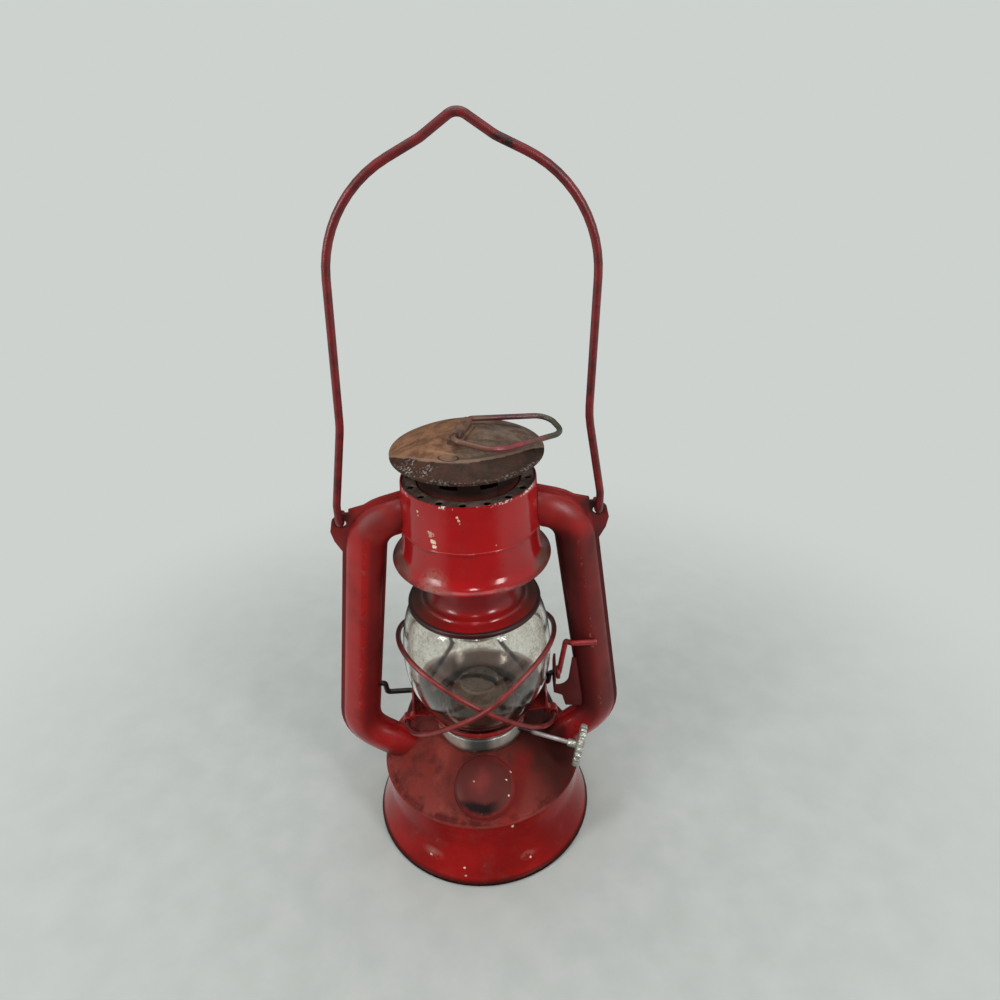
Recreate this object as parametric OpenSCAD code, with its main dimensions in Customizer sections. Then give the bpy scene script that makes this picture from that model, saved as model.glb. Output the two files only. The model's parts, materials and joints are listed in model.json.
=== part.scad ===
// Small tubular kerosene lantern, free-standing, with a wire bail.
// Millimetres. Origin on the table under the tank's centre, +Z up, front at -Y,
// side tubes at -X and +X. The bail stands upright and the globe is down.

/* [Tank] */
// Radius of the rolled base rim
base_r = 50; // [48:0.5:54]
// Height of the rolled base rim
base_rim_h = 2.6; // [2:0.1:3.4]
// Radius of the skirt's waist
waist_r = 44; // [42:0.5:46]
// Height of the waist above the table
waist_z = 20; // [16:0.5:24]
// Height of the shoulder bead
shoulder_z = 33; // [30:0.5:34]
// Height of the flat top that carries the burner
tank_top_z = 47.9; // [46.5:0.1:49]
// Radius of the flat top
tank_top_r = 20.5; // [19.8:0.1:21.5]
// Height of the recessed bottom
bottom_z = 6; // [4:0.5:10]
// Sheet thickness of tank, hood and tubes
sheet = 0.8; // [0.6:0.05:1]

/* [Filler] */
// Distance of the filler from the lantern's axis
filler_r = 32; // [31:0.25:33]
// Outer radius of the filler neck
neck_r = 10; // [9:0.25:10.5]
// Height of the filler neck above the tank
neck_h = 6; // [5:0.25:7]
// Outer radius of the filler cap
filler_cap_r = 13.3; // [12.8:0.1:13.6]
// Thickness of the cork gasket
gasket_h = 1.5; // [1:0.1:2]

/* [Burner] */
// Outer radius of the burner's skirt
burner_r = 19.6; // [19.2:0.1:20.2]
// Outer radius of the burner's upper drum
gallery_r = 15.5; // [15:0.1:16]
// Height of the step between skirt and drum
burner_step_z = 56; // [55.6:0.1:56.8]
// Height of the burner's deck
deck_z = 61.5; // [61.2:0.1:62]
// Height of the flame cone's top
cone_top_z = 76.4; // [75:0.2:79]
// Width of the flat wick
wick_w = 15; // [13:0.25:16]
// Thickness of the flat wick
wick_t = 1.6; // [1.2:0.1:1.8]
// Distance from the wick's middle plane to the winder shaft
shaft_off = 4.9; // [4.6:0.1:5.4]
// Height of the winder shaft where it passes the wick
shaft_z = 56; // [55.6:0.1:56.4]
// Turn of the wick and shaft towards the front
shaft_yaw = 17; // [12:0.5:20]
// Downward tilt of the winder shaft
shaft_tilt = 9.5; // [8:0.25:10]
// Diameter of the winder shaft
shaft_d = 2; // [1.6:0.1:2.2]
// Distance along the shaft to the knob's middle
knob_reach = 45.6; // [44:0.2:49]
// Radius of the knob
knob_r = 9.5; // [8.5:0.1:9.8]

/* [Globe] */
// Height of the globe's bottom edge
globe_z0 = 60.8; // [60.4:0.1:61]
// Height of the globe's top edge
globe_z1 = 123.2; // [122.4:0.1:123.4]
// Height of the globe's widest ring
globe_mid_z = 92; // [88:0.5:96]
// Clearance between the widest ring and the guard rings round it
guard_gap = 0.4; // [0.3:0.1:1.6]
// Outer radius at the bottom edge
globe_r0 = 20; // [19:0.1:20.4]
// Outer radius at the top edge
globe_r1 = 24; // [22.5:0.1:24.1]
// Thickness of the glass
glass_t = 1.8; // [1.4:0.1:2]

/* [Globe carrier] */
// Outer radius of the plate's rim
plate_r = 22; // [21.8:0.1:22.6]
// Height of the plate's rim above its floor
plate_rim_h = 2.3; // [1.8:0.1:2.6]
// Distance of the wings inside the guard rings
wing_set = 4.2; // [4:0.1:4.5]
// Radius of the guard rings
guard_r = 33.2; // [33:0.1:33.5]
// Diameter of the guard wire
guard_d = 2.2; // [1.8:0.1:2.3]
// Height of each guard ring's high side
guard_high_z = 102.4; // [99:0.2:104]
// Height of each guard ring's low side, in its eye
guard_low_z = 53; // [51:0.2:54]
// Height at which the guard rings cross in front
guard_front_z = 87.4; // [85:0.2:89]
// Height at which the guard rings cross behind
guard_back_z = 76; // [66:0.2:80]

/* [Globe lift] */
// Height of the crank's axis
crank_z = 75; // [74.6:0.1:75.4]
// Length of the crank arms
crank_arm = 10; // [9.6:0.1:10.2]
// Diameter of the crank wire
crank_d = 2.4; // [2:0.1:2.5]
// Backward lean of the crank arms at rest
crank_lean = 25; // [22:0.5:28]
// Height of the lever's bend above the crank's axis
lever_h = 23.3; // [21:0.1:26]

/* [Side tubes] */
// Width of a tube in the plane of the lantern
tube_w = 14.5; // [13.5:0.1:15]
// Depth of a tube from front to back
tube_d = 14.5; // [13.5:0.1:15]
// Width of the flat along a tube's ridge
tube_ridge = 2.4; // [1.6:0.1:4]
// Height of the tube's upright sides
tube_side = 6; // [5:0.1:7]
// Width of the outer seam
seam_out = 1.8; // [1.2:0.1:2.2]
// Width of the inner seam
seam_in = 1.2; // [0.8:0.1:1.4]
// Distance of the tube's upper corner from the lantern's axis
tube_top_x = 40.6; // [40:0.1:41.2]
// Distance of the tube's lower corner from the lantern's axis
tube_low_x = 54.7; // [54:0.1:56]
// Height of the tube's lower corner
tube_low_z = 52.1; // [51:0.2:54]

/* [Hood] */
// Height of the hood's brim
brim_z = 142; // [140:0.5:143]
// Radius of the hood's brim
brim_r = 31.8; // [30.5:0.1:32.4]
// Radius of the hood at its lower end
hood_low_r = 27.7; // [27.2:0.1:28.2]
// Radius of the hood at its top
hood_top_r = 26; // [25.7:0.1:26.4]
// Height of the hood's top
hood_top_z = 176; // [174:0.5:177]
// Number of vent holes in the hood's top plate
vent_count = 16; // [10:1:18]
// Diameter of a vent hole
vent_d = 3; // [2:0.1:3.4]

/* [Chimney] */
// Outer radius of the chimney tube
chimney_r = 19.5; // [18.5:0.1:19.6]
// Outer radius of the collar's neck
collar_neck_r = 24.5; // [24.3:0.1:24.7]
// Outer radius of the collar's rim
collar_r = 27.3; // [27:0.1:28]
// Height of the collar's rim
collar_z = 118.4; // [117.6:0.1:118.8]
// Height of the top of the collar's neck
collar_top_z = 150; // [148:0.5:151]
// Radius of the cap
cap_r = 29; // [27:0.25:30]
// Height of the cap's rim
cap_z = 187; // [186:0.5:189]
// Rise of the cap's dome
cap_rise = 8; // [6.5:0.25:9]
// Diameter of the lift ring's wire
ring_d = 2.2; // [1.8:0.1:2.3]
// Height of the lift ring's hinge above the cap's crown
ring_h = 1.9; // [1.8:0.1:2.4]

/* [Bail] */
// Diameter of the bail wire
bail_d = 3; // [2.6:0.1:3.2]
// Distance of the bail's ends from the lantern's axis
bail_x = 50.5; // [50:0.1:51]
// Height of the bail's swing axis
bail_z = 161; // [160.8:0.1:161.6]
// Height of the bail's crown
bail_top_z = 300.3; // [285:1:310]
// Sideways set of the crown from use
bail_set = 3; // [0:0.25:4]

/* [Hidden] */
$fn = 64;

// Clearances: between bodies, in running fits, and for cuts that pass right through
gap = 0.4;
running = 0.08;
through = 1;

red = "#9c1f1c";
dark_red = "#7a1b1a";
nickel = "#a59c8c";
rust = "#8a5a3c";
soot = "#2b2624";

// Tank profile: outer points from the table to the burner seat, and the same with its wall
rim_roll = 3.2;
skirt_low_r = base_r - 0.9;
skirt_mid_r = (skirt_low_r + 2 * waist_r) / 3 + 0.4;
skirt_mid_z = (base_rim_h + waist_z) / 2;
bead_h = 2.4;
bead_out = 1;
tank_outer = [[skirt_low_r, base_rim_h], [skirt_mid_r, skirt_mid_z], [waist_r, waist_z],
    [waist_r, shoulder_z - bead_h], [waist_r + bead_out, shoulder_z - bead_h / 2],
    [waist_r + bead_out * 0.7, shoulder_z], [tank_top_r, tank_top_z]];
burner_hole_r = 17;
function wall_in(p, i) = i < 3 ? [p.x - sheet, p.y] :
    i < 6 ? [waist_r - sheet, min(p.y, shoulder_z - sheet)] : [p.x - sheet / 2, p.y - sheet];
tank_inner = [for (i = [0 : len(tank_outer) - 1]) wall_in(tank_outer[i], i)];
function skirt_in(z) = lookup(z, [for (i = [0 : 2]) [tank_inner[i].y, tank_inner[i].x]]);
shoulder_r = waist_r + bead_out * 0.7;
cone_tilt = atan2(tank_top_z - shoulder_z, shoulder_r - tank_top_r);
function cone_z(r) = tank_top_z - (r - tank_top_r) * tan(cone_tilt);

// Filler axis stands square to the sloping tank top
filler_wall = 1;
filler_seat = 0.6;
filler_cap_wall = 1.2;

// Burner stack
ferrule_h = 2.5;
ferrule_r = burner_r - 0.4;
ferrule_in_r = 15;
burner_z = tank_top_z + ferrule_h;
burner_floor_r = 10;
tube_wall = 0.6;
wick_play = 0.3;
wick_tube_z0 = 44;
wick_tube_z1 = 68;
wick_z0 = 16;
wick_z1 = 70.5;
gear_r = shaft_off - wick_t / 2 - wick_play;
gear_gap = 7;
gear_w = 1.6;
gear_teeth = 10;
cone_flange = 2;

// Globe carrier
plate_in_r = gallery_r + 1;
plate_z = globe_z0 - sheet;
wing_t = 1;
wing_h = 11;
wing_front = 7;
wing_back = 13.5;
globe_r = guard_r - guard_d / 2 - guard_gap;
wing_x = guard_r - wing_set;
guard_lap = guard_d + gap;
eye_r = guard_d / 2 + 0.25;
eye_wall = 0.8;
eye_len = 5;
eye_z = guard_low_z;
eye_slope = (guard_back_z - guard_front_z) / 2 / guard_r;

// Globe lift: arms lean back at rest and turn forward through the lever's travel
lever_turn = 60;
pin_y = crank_arm * sin(crank_lean);
pin_z = crank_z - crank_arm * cos(crank_lean);
pin_y_up = crank_arm * sin(crank_lean + lever_turn);
pin_dip = crank_arm * (1 - cos(lever_turn / 2)) * 0.75;
arm_x = wing_x + wing_t + crank_d / 2 + gap;
prong_x = arm_x + crank_d / 2 + gap;
prong_t = 1;
prong_w = 6;
prong_h = 11;
prong_shoulder = 5;
web_top = 10;
web_drop = 10;
web_waist = 8;
web_step = 4;
web_neck = 5.4;
web_curve = 5;
web_rise = 6.6;
hub_x = prong_x + prong_t + gap;
hub_t = 1.6;
hub_r = 3;
lever_y = -(tube_d / 2 + crank_d / 2 + gap);

// Side tube route, from inside the hood to inside the tank's slope
tube_in = [24, 161.6];
tube_top = [tube_top_x, 157.1];
tube_low = [tube_low_x, tube_low_z];
tube_end = [28, 32.1];
tube_top_bend = 14;
tube_low_bend = 17;
seat = 0.06;
tube_swell = 0.5;
air_hole_r = 5.2;
air_z = tube_in.y - 1.2;

// Hood
hood_bead_z = 157;
hood_bead = 0.7;
hood_low_z = 146;
function hood_r(z) = lookup(z, [[brim_z, brim_r], [hood_low_z, hood_low_r], [hood_top_z, hood_top_r]]);
hood_outer = [[brim_r, brim_z], [hood_low_r, hood_low_z], [hood_r(hood_bead_z - 1), hood_bead_z - 1],
    [hood_r(hood_bead_z) + hood_bead, hood_bead_z], [hood_r(hood_bead_z + 1), hood_bead_z + 1],
    [hood_top_r, hood_top_z]];
vent_z = hood_top_z - 2 * sheet;
vent_in_r = chimney_r + gap + 0.1;

// Chimney and cap
collar_bead_z = 127;
collar_cone_z = 125;
collar_bead = 0.9;
slot_count = 8;
cap_outer = [for (i = [0 : 6]) let (r = cap_r * (1 - i / 6))
    [r, cap_z + cap_rise * (1 - pow(r / cap_r, 2))]];
cap_lip = 1.2;
function cap_in(r) = lookup(r, [for (i = [6 : -1 : 0]) [cap_outer[i].x, cap_outer[i].y - sheet]]);
// Lift ring, seen in its own plane: x away from the hinge, y along it; bent askew by use
ring_yaw = -20;
ring_z = cap_z + cap_rise + ring_h;
ring_drop = 10;
ring_ends = [-15, 5];
ring_far = [25.5, 25];
ring_tip = [34.5, 13.5];
ring_near = [16, -15];
hinge_mid = (ring_ends[0] + ring_ends[1]) / 2;
clip_r = ring_d / 2 + running + sheet;
clip_len = 14;

// Bail hook and ear
hook_r = 3.1;
ear_hole_r = bail_d / 2 + gap + 0.25;
ear_strip = 2;
ear_rim = 3.6;
ear_out = 6;
ear_lean = 26;
ear_span = 24;

bend_step = 10;

function unit(v) = v / norm(v);

// Points round one bend of radius r at p, between the runs from a and to b
function bend(a, p, b, r) =
    let (u = unit(a - p), v = unit(b - p), open = acos(u * v), turn = 180 - open,
        c = p + unit(u + v) * r / sin(open / 2),
        e = unit(p + u * r / tan(open / 2) - c), f = unit(p + v * r / tan(open / 2) - c),
        n = max(2, ceil(turn / bend_step)))
    [for (k = [0 : n]) c + r * (sin(turn * (1 - k / n)) * e + sin(turn * k / n) * f) / sin(turn)];

// A run of straight stretches with rounded corners; each knot is [point, bend radius]
function bent(knots) = let (n = len(knots)) concat([knots[0][0]],
    [for (i = [1 : n - 2]) each bend(knots[i - 1][0], knots[i][0], knots[i + 1][0], knots[i][1])],
    [knots[n - 1][0]]);

function tangents(path, closed) = let (n = len(path)) [for (i = [0 : n - 1])
    unit(closed ? path[(i + 1) % n] - path[(i + n - 1) % n]
        : path[min(i + 1, n - 1)] - path[max(i - 1, 0)])];

function square_to(t) = unit(cross(t, abs(t.z) < 0.9 ? [0, 0, 1] : [1, 0, 0]));

// Closed skin over rings of points, each ring running anticlockwise about the route
module skin(rings, closed = false, cap = []) {
    n = len(rings);
    s = len(rings[0]);
    sides = [for (i = [0 : n - (closed ? 1 : 2)], k = [0 : s - 1])
        let (j = (i + 1) % n, m = (k + 1) % s)
        each [[i * s + k, j * s + k, j * s + m], [i * s + k, j * s + m, i * s + m]]];
    end = len(cap) > 0 ? cap : [[for (k = [0 : s - 1]) k]];
    ends = closed ? [] : concat(end,
        [for (f = end) [for (k = [len(f) - 1 : -1 : 0]) (n - 1) * s + f[k]]]);
    polyhedron([for (r = rings) each r], concat(sides, ends));
}

// Round wire of diameter d along a route
module wire(path, d, sides = 8, closed = false) {
    n = len(path);
    t = tangents(path, closed);
    side = [for (i = 0, v = square_to(t[0]); i < n;
        i = i + 1, v = unit(v - (v * t[min(i, n - 1)]) * t[min(i, n - 1)])) v];
    skin([for (i = [0 : n - 1]) [for (k = [0 : sides - 1]) let (a = 360 * k / sides)
        path[i] + d / 2 * (cos(a) * side[i] + sin(a) * cross(t[i], side[i]))]], closed);
}

module revolve(points) { rotate_extrude() polygon(points); }

// Tank

module tank_shell() {
    color(red) difference() {
        revolve(concat([[base_r - rim_roll, 0], [base_r - 0.6, 0], [base_r, 0.7],
            [base_r, base_rim_h - 0.7], [base_r - 0.5, base_rim_h]], tank_outer,
            [[burner_hole_r, tank_top_z], [burner_hole_r, tank_top_z - sheet]],
            [for (i = [len(tank_inner) - 1 : -1 : 0]) tank_inner[i]],
            [[base_r - rim_roll, base_rim_h]]));
        at_filler() cylinder(r = neck_r - filler_wall, h = 4 * neck_h, center = true);
    }
}

// Everything inside the tank's outer face
module tank_body() {
    revolve(concat([[0, 0], [base_r, 0]], tank_outer, [[0, tank_top_z]]));
}

module tank_bottom() {
    dish = 3;
    color(red) revolve([[0, bottom_z], [skirt_in(bottom_z) - dish, bottom_z],
        [skirt_in(bottom_z) - dish, bottom_z - dish / 2],
        [skirt_in(bottom_z - dish / 2), bottom_z - dish / 2], [skirt_in(bottom_z), bottom_z],
        [skirt_in(bottom_z + sheet), bottom_z + sheet], [0, bottom_z + sheet]]);
}

// Filler

module at_filler() {
    translate([0, -filler_r, cone_z(filler_r)]) rotate([cone_tilt, 0, 0]) children();
}

module filler_neck() {
    color(nickel) difference() {
        at_filler() difference() {
            translate([0, 0, -neck_h]) cylinder(r = neck_r, h = 2 * neck_h);
            cylinder(r = neck_r - filler_wall, h = 4 * neck_h + through, center = true);
        }
        tank_body();
    }
}

module filler_gasket() {
    color("#8b6b47") at_filler() translate([0, 0, neck_h + gap]) difference() {
        cylinder(r = neck_r + running, h = gasket_h);
        translate([0, 0, -through]) cylinder(r = neck_r - 2 * filler_wall, h = gasket_h + 2 * through);
    }
}

module filler_cap() {
    mouth_r = neck_r + gap;
    roof_z = neck_h + gap + gasket_h + running;
    top_z = roof_z + filler_cap_wall;
    color(red) at_filler() revolve([[mouth_r, filler_seat], [filler_cap_r - 0.5, filler_seat],
        [filler_cap_r, filler_seat + 0.5], [filler_cap_r, top_z * 0.55], [filler_cap_r - 0.8, top_z * 0.78],
        [filler_cap_r - 2.6, top_z - 0.4], [filler_cap_r * 0.5, top_z + 0.6], [0, top_z + 0.9],
        [0, roof_z], [mouth_r, roof_z]]);
}

// Burner

module burner_ferrule() {
    color(nickel) translate([0, 0, tank_top_z]) difference() {
        cylinder(r = ferrule_r, h = ferrule_h);
        translate([0, 0, -through]) cylinder(r = ferrule_in_r, h = ferrule_h + 2 * through);
    }
}

// Frame of the winder shaft: +Z runs outward along it from its place in front of the wick
module at_shaft() {
    translate([-shaft_off * sin(shaft_yaw), -shaft_off * cos(shaft_yaw), shaft_z])
        rotate([0, 90 + shaft_tilt, -shaft_yaw]) children();
}

module burner_base() {
    ribs = 40;
    color(nickel) difference() {
        revolve([[burner_floor_r, burner_z], [burner_r, burner_z], [burner_r, burner_step_z],
            [gallery_r, burner_step_z], [gallery_r, deck_z], [gallery_r - sheet, deck_z],
            [gallery_r - sheet, burner_step_z - sheet], [burner_r - sheet, burner_step_z - sheet],
            [burner_r - sheet, burner_z + sheet], [burner_floor_r, burner_z + sheet]]);
        at_shaft() cylinder(r = shaft_d / 2 + running, h = 2 * burner_r);
        for (i = [0 : ribs - 1]) rotate(i * 360 / ribs)
            translate([burner_r + 0.3, 0, burner_step_z - 1.8]) cylinder(r = 0.6, h = 3, $fn = 16);
    }
}

module at_wick() { rotate(-shaft_yaw) children(); }

module slab(w, d, z0, z1) { translate([-w / 2, -d / 2, z0]) cube([w, d, z1 - z0]); }

tube_inner_w = wick_w + 2 * wick_play;
tube_inner_t = wick_t + 2 * wick_play;
tube_outer_w = tube_inner_w + 2 * tube_wall;
tube_outer_t = tube_inner_t + 2 * tube_wall;

module burner_deck() {
    holes = 18;
    color(soot) difference() {
        translate([0, 0, deck_z - sheet]) cylinder(r = gallery_r - sheet, h = sheet);
        at_wick() slab(tube_outer_w, tube_outer_t, deck_z - 2 * sheet, deck_z + through);
        for (i = [0 : holes - 1]) rotate((i + 0.5) * 360 / holes)
            translate([gallery_r - sheet - 2.2, 0, deck_z - 2 * sheet])
                cylinder(r = 0.9, h = 3 * sheet, $fn = 16);
    }
}

module burner_cone() {
    dome_r = gallery_r - cone_flange;
    dome_h = cone_top_z - deck_z - sheet;
    steps = 7;
    function dome(k, s) = let (a = 90 * k / steps)
        [(dome_r - s) * cos(a), deck_z + sheet + (dome_h - s) * sin(a)];
    color(soot) difference() {
        revolve(concat([[gallery_r, deck_z], [gallery_r, deck_z + sheet]],
            [for (k = [0 : steps]) dome(k, 0)],
            [for (k = [steps : -1 : 0]) dome(k, sheet)], [[dome_r - sheet, deck_z]]));
        at_wick() slab(wick_w + 2, wick_t + 2, cone_top_z - 6, cone_top_z + through);
    }
}

module wick_tube() {
    color("#6d5a3c") at_wick() difference() {
        slab(tube_outer_w, tube_outer_t, wick_tube_z0, wick_tube_z1);
        slab(tube_inner_w, tube_inner_t, wick_tube_z0 - through, wick_tube_z1 + through);
        for (s = [-1, 1]) translate([s * gear_gap / 2, -tube_outer_t / 2, shaft_z])
            cube([gear_w + 3, tube_outer_t, 2 * gear_r], center = true);
    }
}

module wick() {
    color("#d8cfb8") at_wick() slab(wick_w, wick_t, wick_z0, wick_z1);
}

module wick_gears() {
    color("#8c7540") at_shaft() for (s = [-1, 1]) translate([0, 0, s * gear_gap / 2]) difference() {
        linear_extrude(gear_w, center = true) difference() {
            circle(r = gear_r);
            for (i = [0 : gear_teeth - 1]) rotate(i * 360 / gear_teeth)
                translate([gear_r, 0]) circle(r = gear_r * 0.2, $fn = 16);
        }
        cylinder(d = shaft_d, h = 2 * gear_w, center = true);
    }
}

module wick_shaft() {
    inner = gear_gap / 2 + gear_w;
    color("#3a3634") at_shaft() translate([0, 0, -inner]) cylinder(d = shaft_d, h = knob_reach + inner);
}

module wick_knob() {
    grips = 22;
    thick = 3;
    edge = 0.8;
    dish = 0.6;
    boss_r = 3.6;
    boss_h = 4;
    color(nickel) at_shaft() translate([0, 0, knob_reach]) difference() {
        revolve([[0, 0], [shaft_d / 2, 0], [shaft_d / 2, -boss_h], [boss_r, -boss_h], [boss_r + 0.4, 0],
            [knob_r - edge, 0], [knob_r, edge], [knob_r, thick - edge], [knob_r - edge, thick],
            [boss_r, thick - dish], [0, thick - dish]]);
        for (i = [0 : grips - 1]) rotate(i * 360 / grips)
            translate([knob_r + 0.5, 0, -through]) cylinder(r = 0.9, h = thick + 2 * through, $fn = 16);
    }
}

// Globe and its carrier

// Barrel of glass between two short straight necks, which the plate and the collar hold
module globe() {
    steps = 9;
    foot_z = globe_z0 + plate_rim_h;
    neck_z = collar_z + 0.6;
    function bulge(r0, u, full) = r0 + (globe_r - r0) * pow(1 - u * u, full);
    lower = [for (i = [0 : steps]) let (u = 1 - i / steps)
        [bulge(globe_r0, u, 0.7), globe_mid_z - u * (globe_mid_z - foot_z)]];
    upper = [for (i = [1 : steps]) let (u = i / steps)
        [bulge(globe_r1, u, 0.5), globe_mid_z + u * (neck_z - globe_mid_z)]];
    outer = concat([[globe_r0, globe_z0]], lower, upper, [[globe_r1, globe_z1]]);
    color("#cfd6d2", 0.5) revolve(concat(outer,
        [for (i = [len(outer) - 1 : -1 : 0]) [outer[i].x - glass_t, outer[i].y]]));
}

// Wing at +X: an upright with a slot for the crank, a gusset to the plate, and an arm that
// carries the eye of a guard wire
module wing() {
    top = plate_z + wing_h;
    low = eye_z + 2;
    front = -wing_front;
    back = wing_back;
    fold_x = plate_r + 2;
    fold_z = plate_z + 1;
    slot_r = crank_d / 2 + gap + pin_dip / 2;
    arm_w = eye_len - 2;
    difference() {
        union() {
            translate([wing_x, 0, 0]) rotate([90, 0, 90]) linear_extrude(wing_t)
                polygon([[-4, low], [5, low], [back, fold_z], [back, top - 3], [back - 4, top],
                    [-2, top], [front, top - 5], [front, plate_z]]);
            translate([0, -front, 0]) rotate([90, 0, 0]) linear_extrude(-2 * front)
                polygon([[plate_r - sheet, plate_z], [fold_x, plate_z], [wing_x + wing_t, fold_z],
                    [wing_x + wing_t, fold_z + sheet], [fold_x, plate_z + sheet],
                    [plate_r - sheet, plate_z + sheet]]);
            translate([wing_x, arm_w / 2, 0]) rotate([90, 0, 0]) linear_extrude(arm_w)
                polygon([[0, eye_z + 4], [0, eye_z + 1], [guard_r - wing_x, eye_z - 0.5],
                    [guard_r - wing_x, eye_z + 1.2], [wing_t, eye_z + 4]]);
            at_eye() cylinder(r = eye_r + eye_wall, h = eye_len, center = true);
        }
        hull() for (y = [pin_y, pin_y_up]) translate([wing_x - through, y, pin_z - pin_dip / 2])
            rotate([0, 90, 0]) cylinder(r = slot_r, h = wing_t + 2 * through, $fn = 32);
        at_eye() cylinder(r = eye_r, h = 2 * eye_len, center = true);
    }
}

module at_eye() {
    translate([guard_r, 0, eye_z]) rotate([atan2(1, -eye_slope), 0, 0]) children();
}

module globe_plate() {
    color(red) difference() {
        union() {
            revolve([[plate_in_r, plate_z], [plate_r, plate_z], [plate_r, plate_z + plate_rim_h],
                [plate_r - sheet, plate_z + plate_rim_h], [plate_r - sheet, plate_z + sheet],
                [plate_in_r, plate_z + sheet]]);
            wing();
            mirror([1, 0, 0]) wing();
        }
        holes = 24;
        for (i = [0 : holes - 1]) rotate((i + 0.5) * 360 / holes)
            translate([plate_in_r + 1.6, 0, plate_z - through]) cylinder(r = 0.7, h = 3, $fn = 16);
    }
}

// Guard ring: side -1 is low at the left, +1 is low at the right; lap steps it out over the other
function guard_route(side, lap) = [for (i = [0 : 47])
    let (a = 7.5 * i, r = guard_r + lap * pow(abs(sin(a)), 12), x = r * cos(a), y = r * sin(a))
    [x, y, (guard_high_z + guard_low_z + guard_front_z + guard_back_z) / 4
        - side * (guard_high_z - guard_low_z) / 2 * cos(a) + (guard_back_z - guard_front_z) / 2 * sin(a)
        + (guard_high_z + guard_low_z - guard_front_z - guard_back_z) / 4 * cos(2 * a)]];

module guard_wire_a() { color(dark_red) wire(guard_route(-1, guard_lap), guard_d, closed = true); }

module guard_wire_b() { color(dark_red) wire(guard_route(1, 0), guard_d, closed = true); }

// Globe lift

// Crank wire at +X, from its bearing inward through the slot in the wing
function crank_route(bearing_x, bend_x) = let (inner = wing_x - crank_d / 2, r = 1.6) bent([
    [[bearing_x, 0, crank_z], 0], [[bend_x, 0, crank_z], r], [[bend_x, pin_y, pin_z], r],
    [[inner, pin_y, pin_z], 0]]);

module lift_crank_left() {
    tube_wall_x = tube_x(crank_z) - tube_w / 2;
    color(soot) mirror([1, 0, 0])
        wire(crank_route(tube_wall_x + 2, tube_wall_x - seam_in - crank_d / 2 - gap), crank_d);
}

module lift_crank_right() { color(soot) wire(crank_route(hub_x, arm_x), crank_d); }

module lift_lever() {
    top = crank_z + lever_h;
    foot_x = hub_x + crank_d / 2 + 0.1;
    tip_x = tube_x(top) + 2;
    bend_x = tip_x - tube_w / 2 - seam_in - 2;
    color(dark_red) {
        translate([hub_x, 0, crank_z]) rotate([0, 90, 0]) cylinder(r = hub_r, h = hub_t);
        wire(bent([[[foot_x, 0, crank_z], 0], [[bend_x - 2, lever_y * 0.4, top - 3], 3],
            [[bend_x, lever_y, top], 2.5], [[tip_x, lever_y, top], 0]]), crank_d);
    }
}

// Prong that the right crank turns in, on a web soldered to the tube's inner side
module lever_bracket() {
    low = eye_z + crank_arm + 3;
    web_y = -prong_w / 2;
    far = tube_x(low) + 2;
    notch_z = crank_z - hub_r - 2;
    color(red) difference() {
        union() {
            translate([prong_x, 0, 0]) rotate([90, 0, 90]) linear_extrude(prong_t)
                polygon([[web_y, low], [-web_y, low + 3], [-web_y, crank_z + prong_shoulder],
                    [0, crank_z + prong_h], [web_y, crank_z + prong_shoulder]]);
            translate([0, web_y + prong_t, 0]) rotate([90, 0, 0]) linear_extrude(prong_t)
                polygon(concat([[prong_x, low], [hub_x + 2.4, low - 2], [hub_x + web_step, low - web_waist],
                    [far, low - web_drop], [far, crank_z + web_top], [hub_x + web_rise, crank_z + web_top]],
                    [for (a = [0 : 15 : 90]) [hub_x + 1 + (web_neck - 1) * cos(a),
                        notch_z + web_curve * (1 - sin(a))]], [[prong_x, notch_z]]));
        }
        translate([prong_x - through, 0, crank_z]) rotate([0, 90, 0])
            cylinder(r = crank_d / 2 + running, h = prong_t + 2 * through);
        tube_solid();
    }
}

// Side tubes

function flat(p) = [p.x, 0, p.y];

ear_below = 4;
tube_top_turn = bend(flat(tube_in), flat(tube_top), flat(tube_low), tube_top_bend);
tube_leg = let (p = tube_top_turn[len(tube_top_turn) - 1]) p + ear_below * unit(flat(tube_low) - p);
tube_route = concat([flat(tube_in)], tube_top_turn, [tube_leg],
    bend(flat(tube_top), flat(tube_low), flat(tube_end), tube_low_bend), [flat(tube_end)]);

// Distance of the straight leg's middle line from the lantern's axis at height z
function tube_x(z) = tube_top.x + (tube_low.x - tube_top.x) * (tube_top.y - z) / (tube_top.y - tube_low.y);

// Front of a tube section from its outer side round to its inner side: upright, then sloping with
// a slight swell to the ridge. A thinner one, by t all round, is its inner wall
function arch(t) = let (w = tube_w / 2 - t, d = tube_d / 2 - t, s = tube_side / 2, r = tube_ridge / 2,
    mid = [(w + r) / 2, (s + d) / 2] + tube_swell * unit([d - s, w - r]),
    side = [[w, s / 2], [w, s], ([w, s] + mid) / 2 + tube_swell * unit([d - s, w - r]) / 4, mid, [r, d]])
    concat([for (p = side) [p.x, -p.y]], [for (k = [4 : -1 : 0]) [-side[k].x, -side[k].y]]);
function backward(list) = [for (k = [len(list) - 1 : -1 : 0]) list[k]];

// Front half of the section with its two seam flanges, the outer one of width seam:
// x outward, y towards the back
function tube_half(seam) = let (w = tube_w / 2) concat(
    [[w + seam, 0], [w + seam, -sheet], [w, -sheet]], arch(0),
    [[-w, -sheet], [-w - seam_in, -sheet], [-w - seam_in, 0], [sheet - w, 0]],
    backward(arch(sheet)), [[w - sheet, 0]]);

// Whole outer section
tube_section = concat(arch(0), [for (p = backward(arch(0))) [p.x, -p.y]]);

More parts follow.
